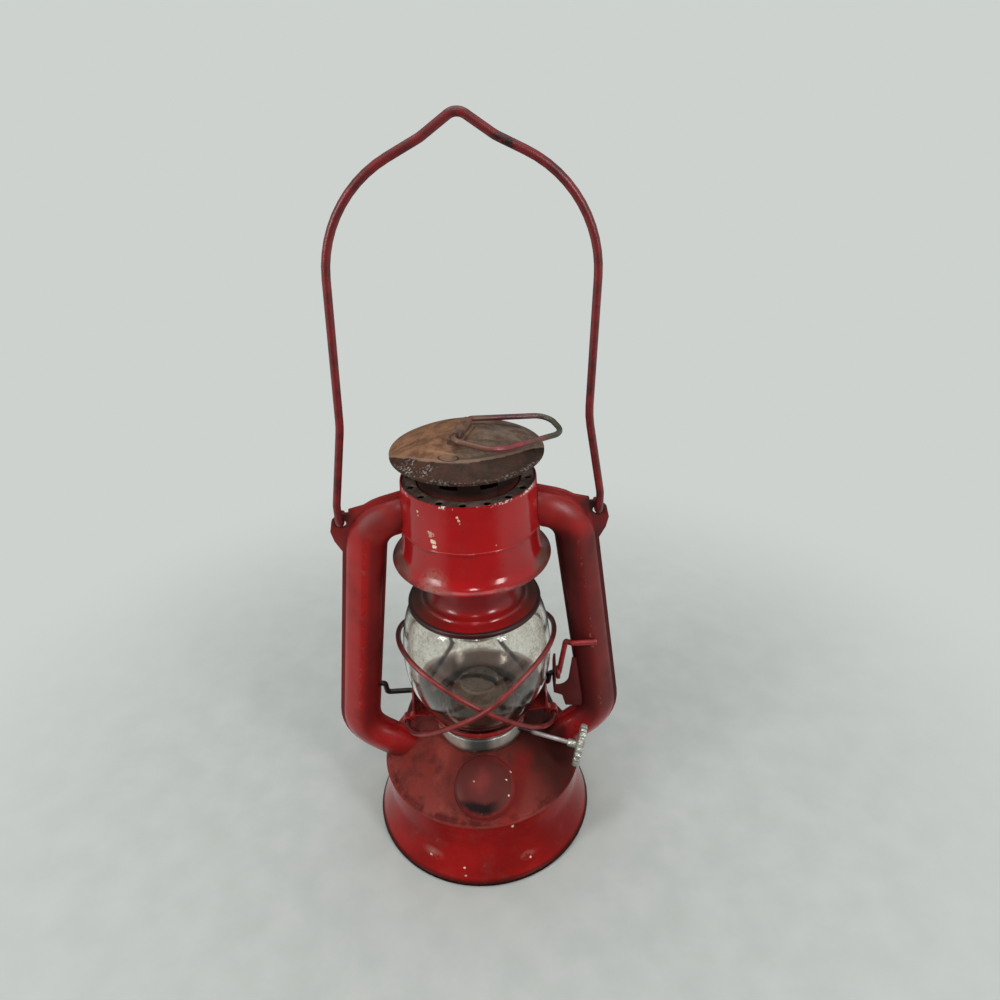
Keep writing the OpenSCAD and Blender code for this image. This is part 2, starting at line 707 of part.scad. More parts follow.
// Faces that close an end of the half section, as strips between its outer and inner walls
half_cap = let (last = 27, far = 13) concat(
    [[last, 0, 1], [last, 1, 2], [far, far + 1, far + 2], [far, far + 2, far + 3]],
    [for (k = [2 : far - 1]) let (m = last + 2 - k) each [[k, k + 1, m - 1], [k, m - 1, m]]]);

// A point of the tube slid along it, in a few steps, until it meets the hood or the tank's slope
function to_hood(p, d, steps = 4) = steps == 0 ? p :
    to_hood(p + d * (sqrt(pow(hood_r(p.z) + seat, 2) - p.y * p.y) - p.x) / d.x, d, steps - 1);
function to_tank(p, d, steps = 4) = let (r = norm([p.x, p.y])) steps == 0 ? p :
    to_tank(p - d * (p.z - cone_z(r) - seat) / (d.z + tan(cone_tilt) * d.x * p.x / r), d, steps - 1);

// One ring of points per station of the route, from a section that may change along it
module along_tube(sections, cap = [], seated = false) {
    t = tangents(tube_route, false);
    last = len(tube_route) - 1;
    rings = [for (i = [0 : last]) [for (q = sections[i])
        tube_route[i] + q.x * [-t[i].z, 0, t[i].x] + [0, q.y, 0]]];
    skin([for (i = [0 : last]) !seated || (i > 0 && i < last) ? rings[i] :
        [for (p = rings[i]) i == 0 ? to_hood(p, t[0]) : to_tank(p, t[last])]], cap = cap);
}

module tube_solid() { along_tube([for (p = tube_route) tube_section]); }

// Width of the outer seam at station i: it swells into the bail's ear on the upper bend
function seam_at(i) = let (a = tangents(tube_route, false)[i], lean = atan2(a.x, -a.z),
    swell = i > len(tube_top_turn) ? 0 : max(0, 1 - pow((lean - ear_lean) / ear_span, 2)))
    seam_out + ear_out * swell;

module right_front_half(bearing) {
    hole_z = bail_z - hook_r;
    difference() {
        along_tube([for (i = [0 : len(tube_route) - 1]) tube_half(seam_at(i))], half_cap, true);
        translate([bail_x, 0, hole_z]) rotate([90, 0, 0])
            cylinder(r = ear_hole_r, h = tube_d, center = true);
        translate([bail_x - ear_rim, -tube_d, bail_z + ear_strip / 2]) cube([tube_w, 2 * tube_d, tube_w]);
        if (bearing) translate([0, 0, crank_z]) rotate([0, 90, 0])
            cylinder(r = crank_d / 2 + running, h = tube_x(crank_z));
    }
}

module left_tube_front() { color(red) mirror([1, 0, 0]) right_front_half(true); }

module left_tube_rear() { color(red) mirror([1, 0, 0]) mirror([0, 1, 0]) right_front_half(true); }

module right_tube_front() { color(red) right_front_half(false); }

module right_tube_rear() { color(red) mirror([0, 1, 0]) right_front_half(false); }

// Hood

module hood_drum() {
    n = len(hood_outer);
    color(red) difference() {
        revolve(concat(hood_outer,
            [for (i = [n - 1 : -1 : 0]) [hood_r(hood_outer[i].y) - sheet, hood_outer[i].y]]));
        translate([0, 0, air_z]) rotate([0, 90, 0])
            cylinder(r = air_hole_r, h = 4 * hood_top_r, center = true);
    }
}

module vent_plate() {
    edge = hood_r(vent_z) - sheet;
    edge_top = hood_r(vent_z + sheet) - sheet;
    first = -6.4;
    color("#5b534c") difference() {
        revolve([[vent_in_r, vent_z], [edge, vent_z], [edge_top, vent_z + sheet],
            [vent_in_r, vent_z + sheet]]);
        for (i = [0 : vent_count - 1]) rotate(i * 360 / vent_count - 90 + first)
            translate([(vent_in_r + edge) / 2, 0, vent_z - through])
                cylinder(d = vent_d, h = sheet + 2 * through, $fn = 24);
    }
}

// Chimney

module chimney_tube() {
    inner = chimney_r - sheet;
    slot_w = 7;
    color(soot) difference() {
        revolve([[chimney_r, collar_top_z], [chimney_r, cap_in(chimney_r)], [inner, cap_in(inner)],
            [inner, collar_top_z]]);
        for (i = [0 : slot_count - 1]) rotate((i + 0.5) * 360 / slot_count)
            translate([0, -slot_w / 2, hood_top_z + 3]) cube([cap_r, slot_w, cap_z - hood_top_z - 4]);
    }
}

module chimney_collar() {
    n = collar_neck_r;
    color(red) revolve([[collar_r - sheet, collar_z], [collar_r, collar_z], [collar_r, collar_z + 1],
        [n + 0.6, collar_cone_z], [n, collar_bead_z - 1], [n + collar_bead, collar_bead_z],
        [n, collar_bead_z + 1], [n, collar_top_z], [chimney_r - sheet, collar_top_z], [chimney_r - sheet, collar_top_z - sheet],
        [n - sheet, collar_top_z - sheet], [n - sheet, collar_cone_z], [collar_r - sheet, collar_z + 1]]);
}

module chimney_cap() {
    color(rust) revolve(concat([[cap_r - sheet, cap_z - cap_lip], [cap_r, cap_z - cap_lip]], cap_outer,
        [for (i = [6 : -1 : 0]) [max(0, cap_outer[i].x - (i == 0 ? sheet : 0)), cap_outer[i].y - sheet]]));
}

module at_ring() { rotate(ring_yaw) translate([0, 0, ring_z]) children(); }

module at_hinge() { at_ring() translate([0, hinge_mid, 0]) rotate([90, 0, 0]) children(); }

module ring_clip() {
    pad_w = 6;
    color(rust) difference() {
        union() {
            at_hinge() cylinder(r = clip_r, h = clip_len, center = true);
            at_hinge() translate([-pad_w / 2, -cap_rise / 2, -clip_len / 2])
                cube([pad_w, cap_rise / 2 - ring_d / 2, clip_len]);
        }
        at_hinge() cylinder(d = ring_d + 2 * running, h = 2 * clip_len, center = true);
        revolve(concat([[0, cap_z - cap_rise], [cap_r, cap_z - cap_rise]], cap_outer));
    }
}

module lift_ring() {
    function at(q) = [q.x, q.y, 0];
    color(rust) at_ring() rotate([0, ring_drop, 0]) wire(bent([[[0, hinge_mid, 0], 0],
        [[0, ring_ends[1], 0], 3], [at(ring_far), 6], [at(ring_tip), 7], [at(ring_near), 12],
        [[0, ring_ends[0], 0], 3], [[0, (ring_ends[0] + hinge_mid) / 2, 0], 0]]), ring_d, closed = true);
}

module chimney_spring() {
    turns = 5;
    wire_d = 1.2;
    coil_r = (collar_neck_r + chimney_r) / 2;
    z0 = collar_top_z + wire_d / 2 + gap / 2;
    z1 = vent_z - wire_d / 2 - gap / 2;
    rings = 12;
    color("#6a6662") wire([for (i = [0 : turns * rings]) let (a = 360 * i / rings)
        [coil_r * cos(a), coil_r * sin(a), z0 + (z1 - z0) * i / (turns * rings)]], wire_d, sides = 6);
}

// Bail

// The wire hooks up through both ears, draws in to a waist and rises to a humped crown
module bail() {
    waist_x = bail_x - 5.3;
    waist_h = 38;
    leg_h = 6;
    crown_x = waist_x - 0.4;
    crown_drop = 24;
    hump_x = 11.5;
    hump_drop = 7.8;
    apex_x = bail_set * 0.75;
    function leg(s) = [[[s * bail_x, -hook_r, bail_z], 0], [[s * bail_x, -hook_r, bail_z + leg_h], 12],
        [[s * waist_x, -hook_r, bail_z + waist_h], 40],
        [[s * crown_x + bail_set, -hook_r, bail_top_z - crown_drop], 42],
        [[s * hump_x + apex_x, -hook_r, bail_top_z - hump_drop], 14]];
    right = leg(1);
    hook = [for (k = [0 : 7]) [bail_x, hook_r * cos(22.5 * k), bail_z - hook_r * sin(22.5 * k)]];
    run = bent(concat(leg(-1), [[[apex_x, -hook_r, bail_top_z], 5]], [for (i = [4 : -1 : 0]) right[i]]));
    color(dark_red) wire(concat([for (q = hook) [-q.x, q.y, q.z]], run,
        [for (k = [7 : -1 : 0]) hook[k]]), bail_d);
}

tank_shell();
tank_bottom();
filler_neck();
filler_gasket();
filler_cap();
burner_ferrule();
burner_base();
burner_deck();
burner_cone();
wick_tube();
wick();
wick_gears();
wick_shaft();
wick_knob();
globe_plate();
globe();
guard_wire_a();
guard_wire_b();
lift_crank_left();
lift_crank_right();
lift_lever();
lever_bracket();
left_tube_front();
left_tube_rear();
right_tube_front();
right_tube_rear();
hood_drum();
vent_plate();
chimney_tube();
chimney_collar();
chimney_cap();
ring_clip();
lift_ring();
chimney_spring();
bail();
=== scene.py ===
# Small tubular kerosene lantern in worn red enamel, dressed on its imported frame.
import json
import math

import bpy
from mathutils import Matrix, Vector

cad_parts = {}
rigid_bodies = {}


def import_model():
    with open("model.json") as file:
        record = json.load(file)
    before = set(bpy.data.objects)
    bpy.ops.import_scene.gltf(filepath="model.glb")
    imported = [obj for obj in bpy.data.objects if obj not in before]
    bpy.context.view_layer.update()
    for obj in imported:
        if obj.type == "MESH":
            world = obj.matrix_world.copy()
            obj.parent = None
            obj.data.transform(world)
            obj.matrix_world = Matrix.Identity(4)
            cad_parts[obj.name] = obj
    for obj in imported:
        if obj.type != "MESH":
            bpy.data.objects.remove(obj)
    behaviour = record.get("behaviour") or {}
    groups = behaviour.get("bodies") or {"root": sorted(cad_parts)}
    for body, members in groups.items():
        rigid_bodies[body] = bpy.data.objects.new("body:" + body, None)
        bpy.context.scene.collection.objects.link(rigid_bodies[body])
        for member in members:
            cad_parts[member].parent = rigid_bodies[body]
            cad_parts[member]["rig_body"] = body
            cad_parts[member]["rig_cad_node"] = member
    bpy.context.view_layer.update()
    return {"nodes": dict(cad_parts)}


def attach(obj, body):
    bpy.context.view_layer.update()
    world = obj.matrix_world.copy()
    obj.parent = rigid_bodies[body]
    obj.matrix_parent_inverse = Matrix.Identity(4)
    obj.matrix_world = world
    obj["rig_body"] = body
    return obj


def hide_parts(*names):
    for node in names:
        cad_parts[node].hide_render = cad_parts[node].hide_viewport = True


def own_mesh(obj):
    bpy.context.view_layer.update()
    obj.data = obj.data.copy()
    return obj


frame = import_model()
bpy.ops.object.select_all(action="DESELECT")
bpy.context.scene.view_settings.view_transform = "Standard"
MM = 0.001

# Camera. It is held close to the lantern and above its cap, so the wide view
# makes the base look narrow and the bail tall.
pitch, yaw, roll = (math.radians(a) for a in (28.74, 2.64, -1.8))
ahead = Vector((math.sin(yaw) * math.cos(pitch), math.cos(yaw) * math.cos(pitch), -math.sin(pitch)))
level = Vector((math.cos(yaw), -math.sin(yaw), 0))
rise = level.cross(ahead)
right = math.cos(roll) * level + math.sin(roll) * rise
up = math.cos(roll) * rise - math.sin(roll) * level
eye = (0, -0.258, 0.3058)
bpy.ops.object.camera_add()
camera = bpy.context.object
camera.matrix_world = Matrix.Translation(eye) @ Matrix((right, up, -ahead)).transposed().to_4x4()
camera.data.lens = 27.25
bpy.context.scene.camera = camera


# Floor and light. A plain pale floor that runs out into a pale room, lit by a broad soft
# light above, a tall lamp at each side and a small one in front. Gloss sees the room bright
# only at the sides.
class Shade:
    """A socket in a finish; sums, products and comparisons of shades become Math nodes."""

    def __init__(self, tree, socket):
        self.tree, self.socket = tree, socket

    def node(self, kind, settings, sockets, out=0):
        made = self.tree.nodes.new(kind)
        for key, value in settings.items():
            setattr(made, key, value)
        for key, value in sockets.items():
            if isinstance(value, Shade):
                self.tree.links.new(value.socket, made.inputs[key])
            else:
                made.inputs[key].default_value = value
        return Shade(self.tree, made.outputs[out])

    def math(self, operation, first, second=0.0):
        return self.node("ShaderNodeMath", {"operation": operation}, {0: first, 1: second})

    def __add__(self, other):
        return self.math("ADD", self, other)

    def __sub__(self, other):
        return self.math("SUBTRACT", self, other)

    def __rsub__(self, other):
        return self.math("SUBTRACT", other, self)

    def __mul__(self, other):
        return self.math("MULTIPLY", self, other)

    def __truediv__(self, other):
        return self.math("DIVIDE", self, other)

    def __or__(self, other):
        return self.math("MAXIMUM", self, other)

    def __abs__(self):
        return self.math("ABSOLUTE", self)

    def limit(self):
        return self.node("ShaderNodeClamp", {}, {0: self})

    def steps(self, low, high):
        ends = {"From Min": low, "From Max": high, "To Min": 0.0, "To Max": 1.0}
        return self.node("ShaderNodeMapRange", {"interpolation_type": "SMOOTHSTEP"}, {"Value": self, **ends})

    def near(self, value, width):
        return 1.0 - abs(self - value).steps(width * 0.3, width)

    def mix(self, plain, covered):
        return self.node("ShaderNodeMix", {"data_type": "RGBA"}, {0: self, 6: plain, 7: covered}, 2)

    def noise(self, scale, detail=4.0, rough=0.55):
        sockets = {"Vector": self, "Scale": scale, "Detail": detail, "Roughness": rough}
        return self.node("ShaderNodeTexNoise", {}, sockets)

    def stretched(self, scale):
        return self.node("ShaderNodeMapping", {}, {"Vector": self, "Scale": scale})

    def axis(self, index):
        return self.node("ShaderNodeSeparateXYZ", {}, {0: self}, index)

    def axes(self):
        return [self.axis(k) for k in range(3)]

    def distance(self, spot):
        return self.node("ShaderNodeVectorMath", {"operation": "DISTANCE"}, {0: self, 1: spot}, 1)

    def reach(self):
        """Distance from the upright axis."""
        return self.stretched((1, 1, 0)).distance((0, 0, 0))

    def ragged(self, noise, depth):
        """The shade moved to and fro by a noise, so that its steps get a ragged edge."""
        return self + (noise - 0.5) * depth

    def spot(self, centre, inner, outer, noise, depth):
        """One inside a ragged spot about a centre, nothing outside it."""
        return 1.0 - self.distance(centre).ragged(noise, depth).steps(inner, outer)

    def bump(self, strength, depth):
        return self.node("ShaderNodeBump", {}, {"Strength": strength, "Distance": depth, "Height": self})

    def light_path(self, kind):
        return self.node("ShaderNodeLightPath", {}, {}, f"Is {kind} Ray")

    def sideways(self):
        return (abs(self.axis(0)) / self.reach()).steps(0.5, 0.85)


def ink(code):
    """Linear colour of a six-digit colour code."""
    parts = [int(code[i : i + 2], 16) / 255 for i in (0, 2, 4)]
    return (*[p / 12.92 if p <= 0.04045 else ((p + 0.055) / 1.055) ** 2.4 for p in parts], 1.0)


def start_finish(name):
    """A new material, and the Object coordinates in it."""
    look = bpy.data.materials.new(name)
    look.use_nodes = True
    tree = look.node_tree
    return look, Shade(tree, tree.nodes.new("ShaderNodeTexCoord").outputs["Object"])


def set_finish(look, **sockets):
    """Values and shades for the shader, by socket name with _ for a space."""
    shader = look.node_tree.nodes["Principled BSDF"]
    for key, value in sockets.items():
        socket = shader.inputs[key.replace("_", " ")]
        if isinstance(value, Shade):
            look.node_tree.links.new(value.socket, socket)
        else:
            socket.default_value = value


bpy.ops.mesh.primitive_plane_add(size=12)
floor = bpy.context.object
floor.name = "floor"
pale_floor, place = start_finish("pale_floor")
wall, flag = ink("cdd2cf"), ink("4a4342")
cloud = place.noise(60).steps(0.2, 0.8).mix(ink("a8aca8"), ink("b1b4b0"))
set_finish(pale_floor, Base_Color=cloud, Roughness=0.95, Specular_IOR_Level=0.0)
through = place.light_path("Transmission")
glossy = place.light_path("Glossy") * (1.0 - through)
glow = place.node("ShaderNodeEmission", {}, {"Color": glossy.mix(wall, place.sideways().mix(flag, wall))})
cloth = Shade(place.tree, place.tree.nodes["Principled BSDF"].outputs[0])
far = place.distance((0, 0, 0)).steps(0.1, 0.36)
mixed = place.node("ShaderNodeMixShader", {}, {0: far | glossy | (through * 0.7), 1: cloth, 2: glow})
place.tree.links.new(mixed.socket, place.tree.nodes["Material Output"].inputs["Surface"])
floor.data.materials.append(pale_floor)
for lamp_name, spot, target, size, height, power in (
    ("left_lamp", (-0.57, -0.36, 0.44), (0, 0, 0.12), 0.14, 0.3, 2.2),
    ("right_lamp", (0.44, -0.52, 0.44), (0, 0, 0.12), 0.14, 0.3, 2.2),
    ("front_lamp", (-0.02, -0.66, 0.95), (0, 0, 0.12), 0.14, 0.14, 1.2),
    ("top_light", (0.0, 0.1, 1.2), (0, 0, 0.1), 1.0, 1.0, 6.5),
):
    bpy.ops.object.light_add(type="AREA", location=spot)
    lamp = bpy.context.object
    lamp.name = lamp_name
    lamp.data.shape, lamp.data.size, lamp.data.size_y, lamp.data.energy = "RECTANGLE", size, height, power
    lamp.rotation_euler = (Vector(target) - Vector(spot)).to_track_quat("-Z", "Y").to_euler()
room = bpy.data.worlds.new("room")
room.use_nodes = True
bpy.context.scene.world = room
around = Shade(room.node_tree, room.node_tree.nodes.new("ShaderNodeTexCoord").outputs["Generated"])
seen = around.light_path("Camera") | around.light_path("Transmission")
air = around.light_path("Glossy").mix((0.42, 0.43, 0.43, 1), around.sideways().mix(flag, wall))
room.node_tree.links.new(seen.mix(air, wall).socket, room.node_tree.nodes["Background"].inputs["Color"])


# Tank. One sheet of enamelled steel, spun to a waisted skirt with a rolled base rim,
# a beaded shoulder and a sloping top, and closed by a recessed bottom.
def enamel(name, light, deep, wear=0.5, dust=0.3, gloss=0.16, shine=0.5, stains=None, chips=()):
    """Old red enamel: colour drifts, dull patches, dark pinholes and pale chips. The stains are
    (mask, colour) pairs from the place and its noise, painted shade and painted reflection among them;
    each chip is (x, y, z, size) in millimetres."""
    look, place = start_finish(name)
    broad, patches, fine = place.noise(38, 5.0), place.noise(140, 6.0, 0.62), place.noise(900, 4.0, 0.6)
    colour = broad.steps(0.3, 0.7).mix(ink(light), ink(deep))
    dull = patches.steps(0.48, 0.75) * dust
    colour = dull.mix(colour, ink("7c3a33"))
    rough = dull * 0.3
    for mask, code in stains(place, broad, patches, fine) if stains else ():
        colour = mask.mix(colour, ink(code))
        rough = rough + mask * 0.22
    specks = (fine * 0.7 + patches * 0.3).steps(0.64, 0.68)
    colour = (specks * 0.7).mix(colour, ink("2c0f0c"))
    chipped = (patches * 0.6 + fine * 0.4).steps(0.655, 0.67) * wear
    for x, y, z, size in chips:
        centre, size = (x * MM, y * MM, z * MM), size * MM
        chipped = chipped | place.spot(centre, size * 0.7, size, fine, size * 3.2)
    colour = chipped.steps(0.2, 0.6).mix(colour, patches.steps(0.4, 0.6).mix(ink("dcc6b0"), ink("a98a72")))
    height = broad * 0.9 + patches * 0.12 + fine * 0.04 - chipped * 0.4 - specks * 0.08
    set_finish(look, Base_Color=colour, Roughness=(rough + broad * 0.06 + chipped * 0.3 + gloss - 0.03).limit())
    set_finish(look, Normal=height.bump(0.3, 0.0006), Specular_IOR_Level=shine)
    return look


def turned(name, outline, wall=0.0, steps=128):
    """A piece spun about the upright axis from (radius, height) points in millimetres."""
    bpy.ops.object.select_all(action="DESELECT")
    bpy.ops.mesh.primitive_plane_add(size=MM)
    piece = bpy.context.object
    piece.name = piece.data.name = name
    bpy.ops.object.mode_set(mode="EDIT")
    bpy.ops.mesh.merge(type="CENTER")
    bpy.ops.transform.translate(value=(outline[0][0] * MM, 0, outline[0][1] * MM))
    for (r0, z0), (r1, z1) in zip(outline, outline[1:]):
        bpy.ops.mesh.extrude_region_move(TRANSFORM_OT_translate={"value": ((r1 - r0) * MM, 0, (z1 - z0) * MM)})
    bpy.ops.mesh.select_all(action="SELECT")
    bpy.ops.mesh.spin(steps=steps, angle=2 * math.pi, center=(0, 0, 0), axis=(0, 0, 1))
    bpy.ops.mesh.select_all(action="SELECT")
    bpy.ops.mesh.remove_doubles(threshold=MM * 0.002)
    bpy.ops.mesh.normals_make_consistent(inside=False)
    bpy.ops.object.mode_set(mode="OBJECT")
    if wall:
        outward = sum(p.normal.dot(Vector((p.center.x, p.center.y, 0))) * p.area for p in piece.data.polygons)
        if outward < 0:
            piece.data.flip_normals()
        thick = piece.modifiers.new("wall", "SOLIDIFY")
        thick.thickness, thick.offset, thick.use_even_offset = wall * MM, -1, True
        bpy.ops.object.modifier_apply(modifier="wall")
    bpy.ops.object.shade_smooth_by_angle(angle=math.radians(40))
    return piece


def arc(cx, cz, radius, start, end, count=7):
    """Points round part of a circle, angles in degrees."""
    turn = [math.radians(start + (end - start) * k / (count - 1)) for k in range(count)]
    return [(cx + radius * math.cos(a), cz + radius * math.sin(a)) for a in turn]


def dress(piece, look, body, slot, *nodes):
    """Finish a piece and let it stand for its nodes on a body."""
    piece.data.materials.clear()
    piece.data.materials.append(look)
    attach(piece, body)
    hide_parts(*nodes)


def retouched(node, look, body, slot, edge=0.15, smooth=35):
    """A copy of a node with its facets merged and its sheet edges eased."""
    bpy.ops.object.select_all(action="DESELECT")
    piece = frame["nodes"][node].copy()
    piece.data = piece.data.copy()
    piece.name = piece.data.name = node + "_dressed"
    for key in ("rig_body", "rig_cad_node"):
        del piece[key]
    piece.parent = None
    bpy.context.scene.collection.objects.link(piece)
    bpy.context.view_layer.objects.active = piece
    piece.select_set(True)
    bpy.ops.object.mode_set(mode="EDIT")
    bpy.ops.mesh.select_all(action="SELECT")
    bpy.ops.mesh.remove_doubles(threshold=MM * 0.002)
    bpy.ops.object.mode_set(mode="OBJECT")
    if edge:
        eased = piece.modifiers.new("edge", "BEVEL")
        eased.width, eased.segments, eased.angle_limit = edge * MM, 2, math.radians(50)
        bpy.ops.object.modifier_apply(modifier="edge")
    bpy.ops.object.shade_smooth_by_angle(angle=math.radians(smooth))
    dress(piece, look, body, slot, node)


skirt = [(44 + 5.1 * ((20 - z) / 17.3) ** 1.3, z) for z in (2.7, 4.5, 7, 9.5, 12, 14.5, 17, 19)]
tank = turned(
    "tank",
    arc(48.7, 1.3, 1.3, -170, 62, 14) + skirt + [(44, 21), (44, 30.4)] + arc(44.2, 31.8, 0.95, -75, 75, 8)
    + [(44.3, 33.05), (43.7, 33.6), (32, 40.82), (22.3, 46.8), (21.3, 47.4), (20.3, 47.8), (19.3, 47.9), (17, 47.9)],
    wall=0.8,
)


def tank_stains_and_shade(place, broad, patches, fine):
    x, y, z = place.axes()
    slope = z.steps(0.0311, 0.0328)
    flat = place.stretched((1, 1, 1.8))
    left_scuff = flat.spot((-0.024, -0.0391, 0.0216), 0.0, 0.0065, patches, 0.018)
    right_scuff = flat.spot((0.0172, -0.043, 0.0194), 0.0, 0.0045, patches, 0.018)
    streak = slope * (x - (y + 0.03) * 0.35 - 0.014).near(0.0, 0.006) * y.steps(-0.012, -0.022)
    return [
        (slope * (patches * 0.6 + 0.6).limit(), "70302a"),
        # The slope darkens towards its right and back: painted shade.
        (slope * (x * 30.0 + y * 22.0 + broad * 0.5).steps(0.0, 0.65) * 0.85, "2c1410"),
        (slope * patches.steps(0.45, 0.62) * 0.5, "42201b"),
        (slope * broad.steps(0.5, 0.62) * (fine * 0.9).limit(), "94433b"),
        (streak * 0.6, "7a1a18"),
        (z.near(0.0335, 0.0012) * patches.steps(0.4, 0.6) * 0.7, "4a1512"),
        ((1.0 - z.steps(0.0016, 0.0042)) * (fine + 0.5).limit(), "1a0e0a"),
        ((left_scuff | right_scuff) * (fine * 0.2 + patches * 0.8).steps(0.36, 0.6) * 0.6, "9c7a70"),
    ]


tank_nicks = [
    (-10.55, -45.8, 8.6, 0.5), (-10.3, -47.1, 5, 0.5), (11, -42.6, 29, 0.7),
    (-25.1, -39.1, 10.2, 0.6), (18.5, -43.1, 8.8, 0.6),
]
tank_red = enamel(
    "tank_red", "8c1817", "6f1412", wear=0.3, dust=0.25, gloss=0.2, shine=0.06, stains=tank_stains_and_shade, chips=tank_nicks
)
dress(tank, tank_red, "frame", "red_enamel", "tank_shell")
retouched("tank_bottom", tank_red, "frame", "red_enamel")


# Filler. A nickelled neck soldered to the tank's slope, a cork ring on its mouth, and a
# pressed cap screwed down over both.
def metal(name, bright, dull, roughness=0.35, metallic=1.0, stain=0.5, band=None):
    """Tarnished plating: dull patches, dark specks and fine scratches. A band (x, width) is an
    upright dark reflection."""
    look, place = start_finish(name)
    patches, fine = place.noise(160, 5.0, 0.6), place.noise(1300, 3.0)
    scratch = place.stretched((300, 300, 2600)).noise(1.0, 3.0)
    dark = (patches * 0.7 + fine * 0.3).steps(0.5, 0.68) * stain
    colour = dark.mix(patches.steps(0.3, 0.6).mix(ink(bright), ink(dull)), ink("231a14"))
    if band:
        colour = (place.axis(0).near(*band) * 0.8).mix(colour, ink("4b4d4c"))
    rough = (dark * 0.4 + patches * 0.2 + roughness - 0.1).limit()
    set_finish(look, Base_Color=colour, Metallic=(1.0 - dark) * metallic, Roughness=rough)
    set_finish(look, Normal=(scratch * 0.4 + patches * 0.6).bump(0.25, 0.0002))
    return look


nickel = metal("tarnished_nickel", "c9c2b4", "8d8474")
retouched("filler_neck", nickel, "frame", "tarnished_nickel")
cork, place = start_finish("pressed_cork")
grain = place.noise(1500, 4.0, 0.7)
set_finish(
    cork,
    Base_Color=grain.steps(0.35, 0.65).mix(ink("9a7650"), ink("5e4228")),
    Roughness=0.9,
    Normal=grain.bump(0.6, 0.0003),
)
retouched("filler_gasket", cork, "filler_seal", "cork", edge=0.2)
filler_tilt = math.radians(31.6207)
filler_place = (0, -32 * MM, 40.8194 * MM)


def stand(piece, turn, spot):
    """Turn and move a piece to its seat, and keep its place in its mesh."""
    piece.matrix_world = Matrix.Translation(spot) @ turn.to_4x4()
    bpy.ops.object.select_all(action="DESELECT")
    bpy.context.view_layer.objects.active = piece
    piece.select_set(True)
    bpy.ops.object.transform_apply(location=True, rotation=True, scale=True)


cap_outline = (
    [(10.4, 0.7), (12.6, 0.7)] + arc(12.8, 1.1, 0.45, -90, 40, 5)
    + [(12.85, 1.75), (12.8, 5.6)] + arc(10.8, 6.7, 2.0, 0, 80, 9)
    + [(10.4, 9.05), (8, 9.5), (5, 9.8), (2, 9.95), (0, 10.0), (0, 7.98), (10.4, 7.98), (10.4, 0.7)]
)
filler_cap = turned("filler_screw_cap", cap_outline)
filler_turn = Matrix.Rotation(filler_tilt, 3, "X")
stand(filler_cap, filler_turn, filler_place)


def on_cap(x, y, z):
    """A point of the filler cap, given in its own frame in millimetres."""
    return filler_turn @ Vector((x * MM, y * MM, z * MM)) + Vector(filler_place)


def cap_stains(place, broad, patches, fine):
    seat = {"Vector": place, "Location": filler_place, "Rotation": (filler_tilt, 0, 0)}
    own = place.node("ShaderNodeMapping", {"vector_type": "TEXTURE"}, seat)
    x, y, across = own.axis(0), own.axis(1), own.reach()
    smear = across.ragged(patches, 0.004).ragged(fine, 0.002).near(0.0098, 0.0034)
    low = y.ragged(patches, 0.004).steps(-0.0045, -0.0075)
    blot = smear * low * (1.0 - x.ragged(patches, 0.006).steps(0.001, 0.008))
    rim = across.steps(0.0108, 0.0124) * (x.steps(0.0, 0.009) | y.steps(-0.006, -0.0095))
    return [
        (broad.steps(0.35, 0.65) * 0.5, "5a2522"),
        (patches.steps(0.45, 0.65) * 0.45, "4a221e"),
        (own.spot((-0.002, 0.0005, 0.0098), 0.001, 0.0065, patches, 0.01) * 0.4, "8e3634"),
        (rim * (0.75 - blot * 0.4), "7c2220"),
        (blot * 0.95, "120c0e"),
    ]


nick_places = [
    (9.3, 1.5, 9.25, 0.55), (11.4, 4.7, 8, 0.5), (9.7, -4.7, 8.7, 0.5), (-4.5, 1.6, 9.8, 0.45), (-12.6, -2.5, 6, 0.5),
]
cap_nicks = [(*(on_cap(x, y, z) / MM), size) for x, y, z, size in nick_places]
cap_red = enamel(
    "filler_cap_red", "5c241f", "461b17", wear=0.5, dust=0.4, gloss=0.3, shine=0.1, stains=cap_stains, chips=cap_nicks
)
dress(filler_cap, cap_red, "filler_cap", "red_enamel", "filler_cap")

# Burner. A plated skirt with pressed ribs on a ferrule, a sooty deck and flame cone inside
# it, and the flat brass tube that leads the cotton wick up from the tank.
retouched("burner_ferrule", nickel, "frame", "tarnished_nickel")
burner = turned(
    "burner_skirt",
    [(10, 50.4), (19.2, 50.4)] + arc(19.2, 50.8, 0.4, -90, 0, 4)
    + [(19.6, 52), (19.6, 53.8), (19.6, 54.4), (19.6, 55.0)] + arc(19.1, 55.5, 0.5, 0, 90, 5)
    + [(16.4, 56)] + arc(16.1, 56.6, 0.6, -90, -180, 4) + [(15.5, 61), (15.3, 61.5), (14.7, 61.5), (14.7, 55.2)]
    + [(18.8, 55.2), (18.8, 51.2), (10, 51.2), (10, 50.4)],
    steps=320,
)


def pressed(piece, count, depth, share):
    """Press dents into a turned piece, count of them round its axis; share(radius, height) says
    how much of the depth a point takes, from 0 up to 1."""
    for v in piece.data.vertices:
        r = math.hypot(v.co.x, v.co.y) / MM
        part = share(r, v.co.z / MM)
        if part > 0:
            sink = depth * (0.5 + 0.5 * math.cos(count * math.atan2(v.co.y, v.co.x))) * min(1, part)
            v.co.x *= 1 - sink / r
            v.co.y *= 1 - sink / r


def on_shoulder(r, z):
    return (z - 53.7) / 0.6 if r > 18.95 and z < 56.1 else 0


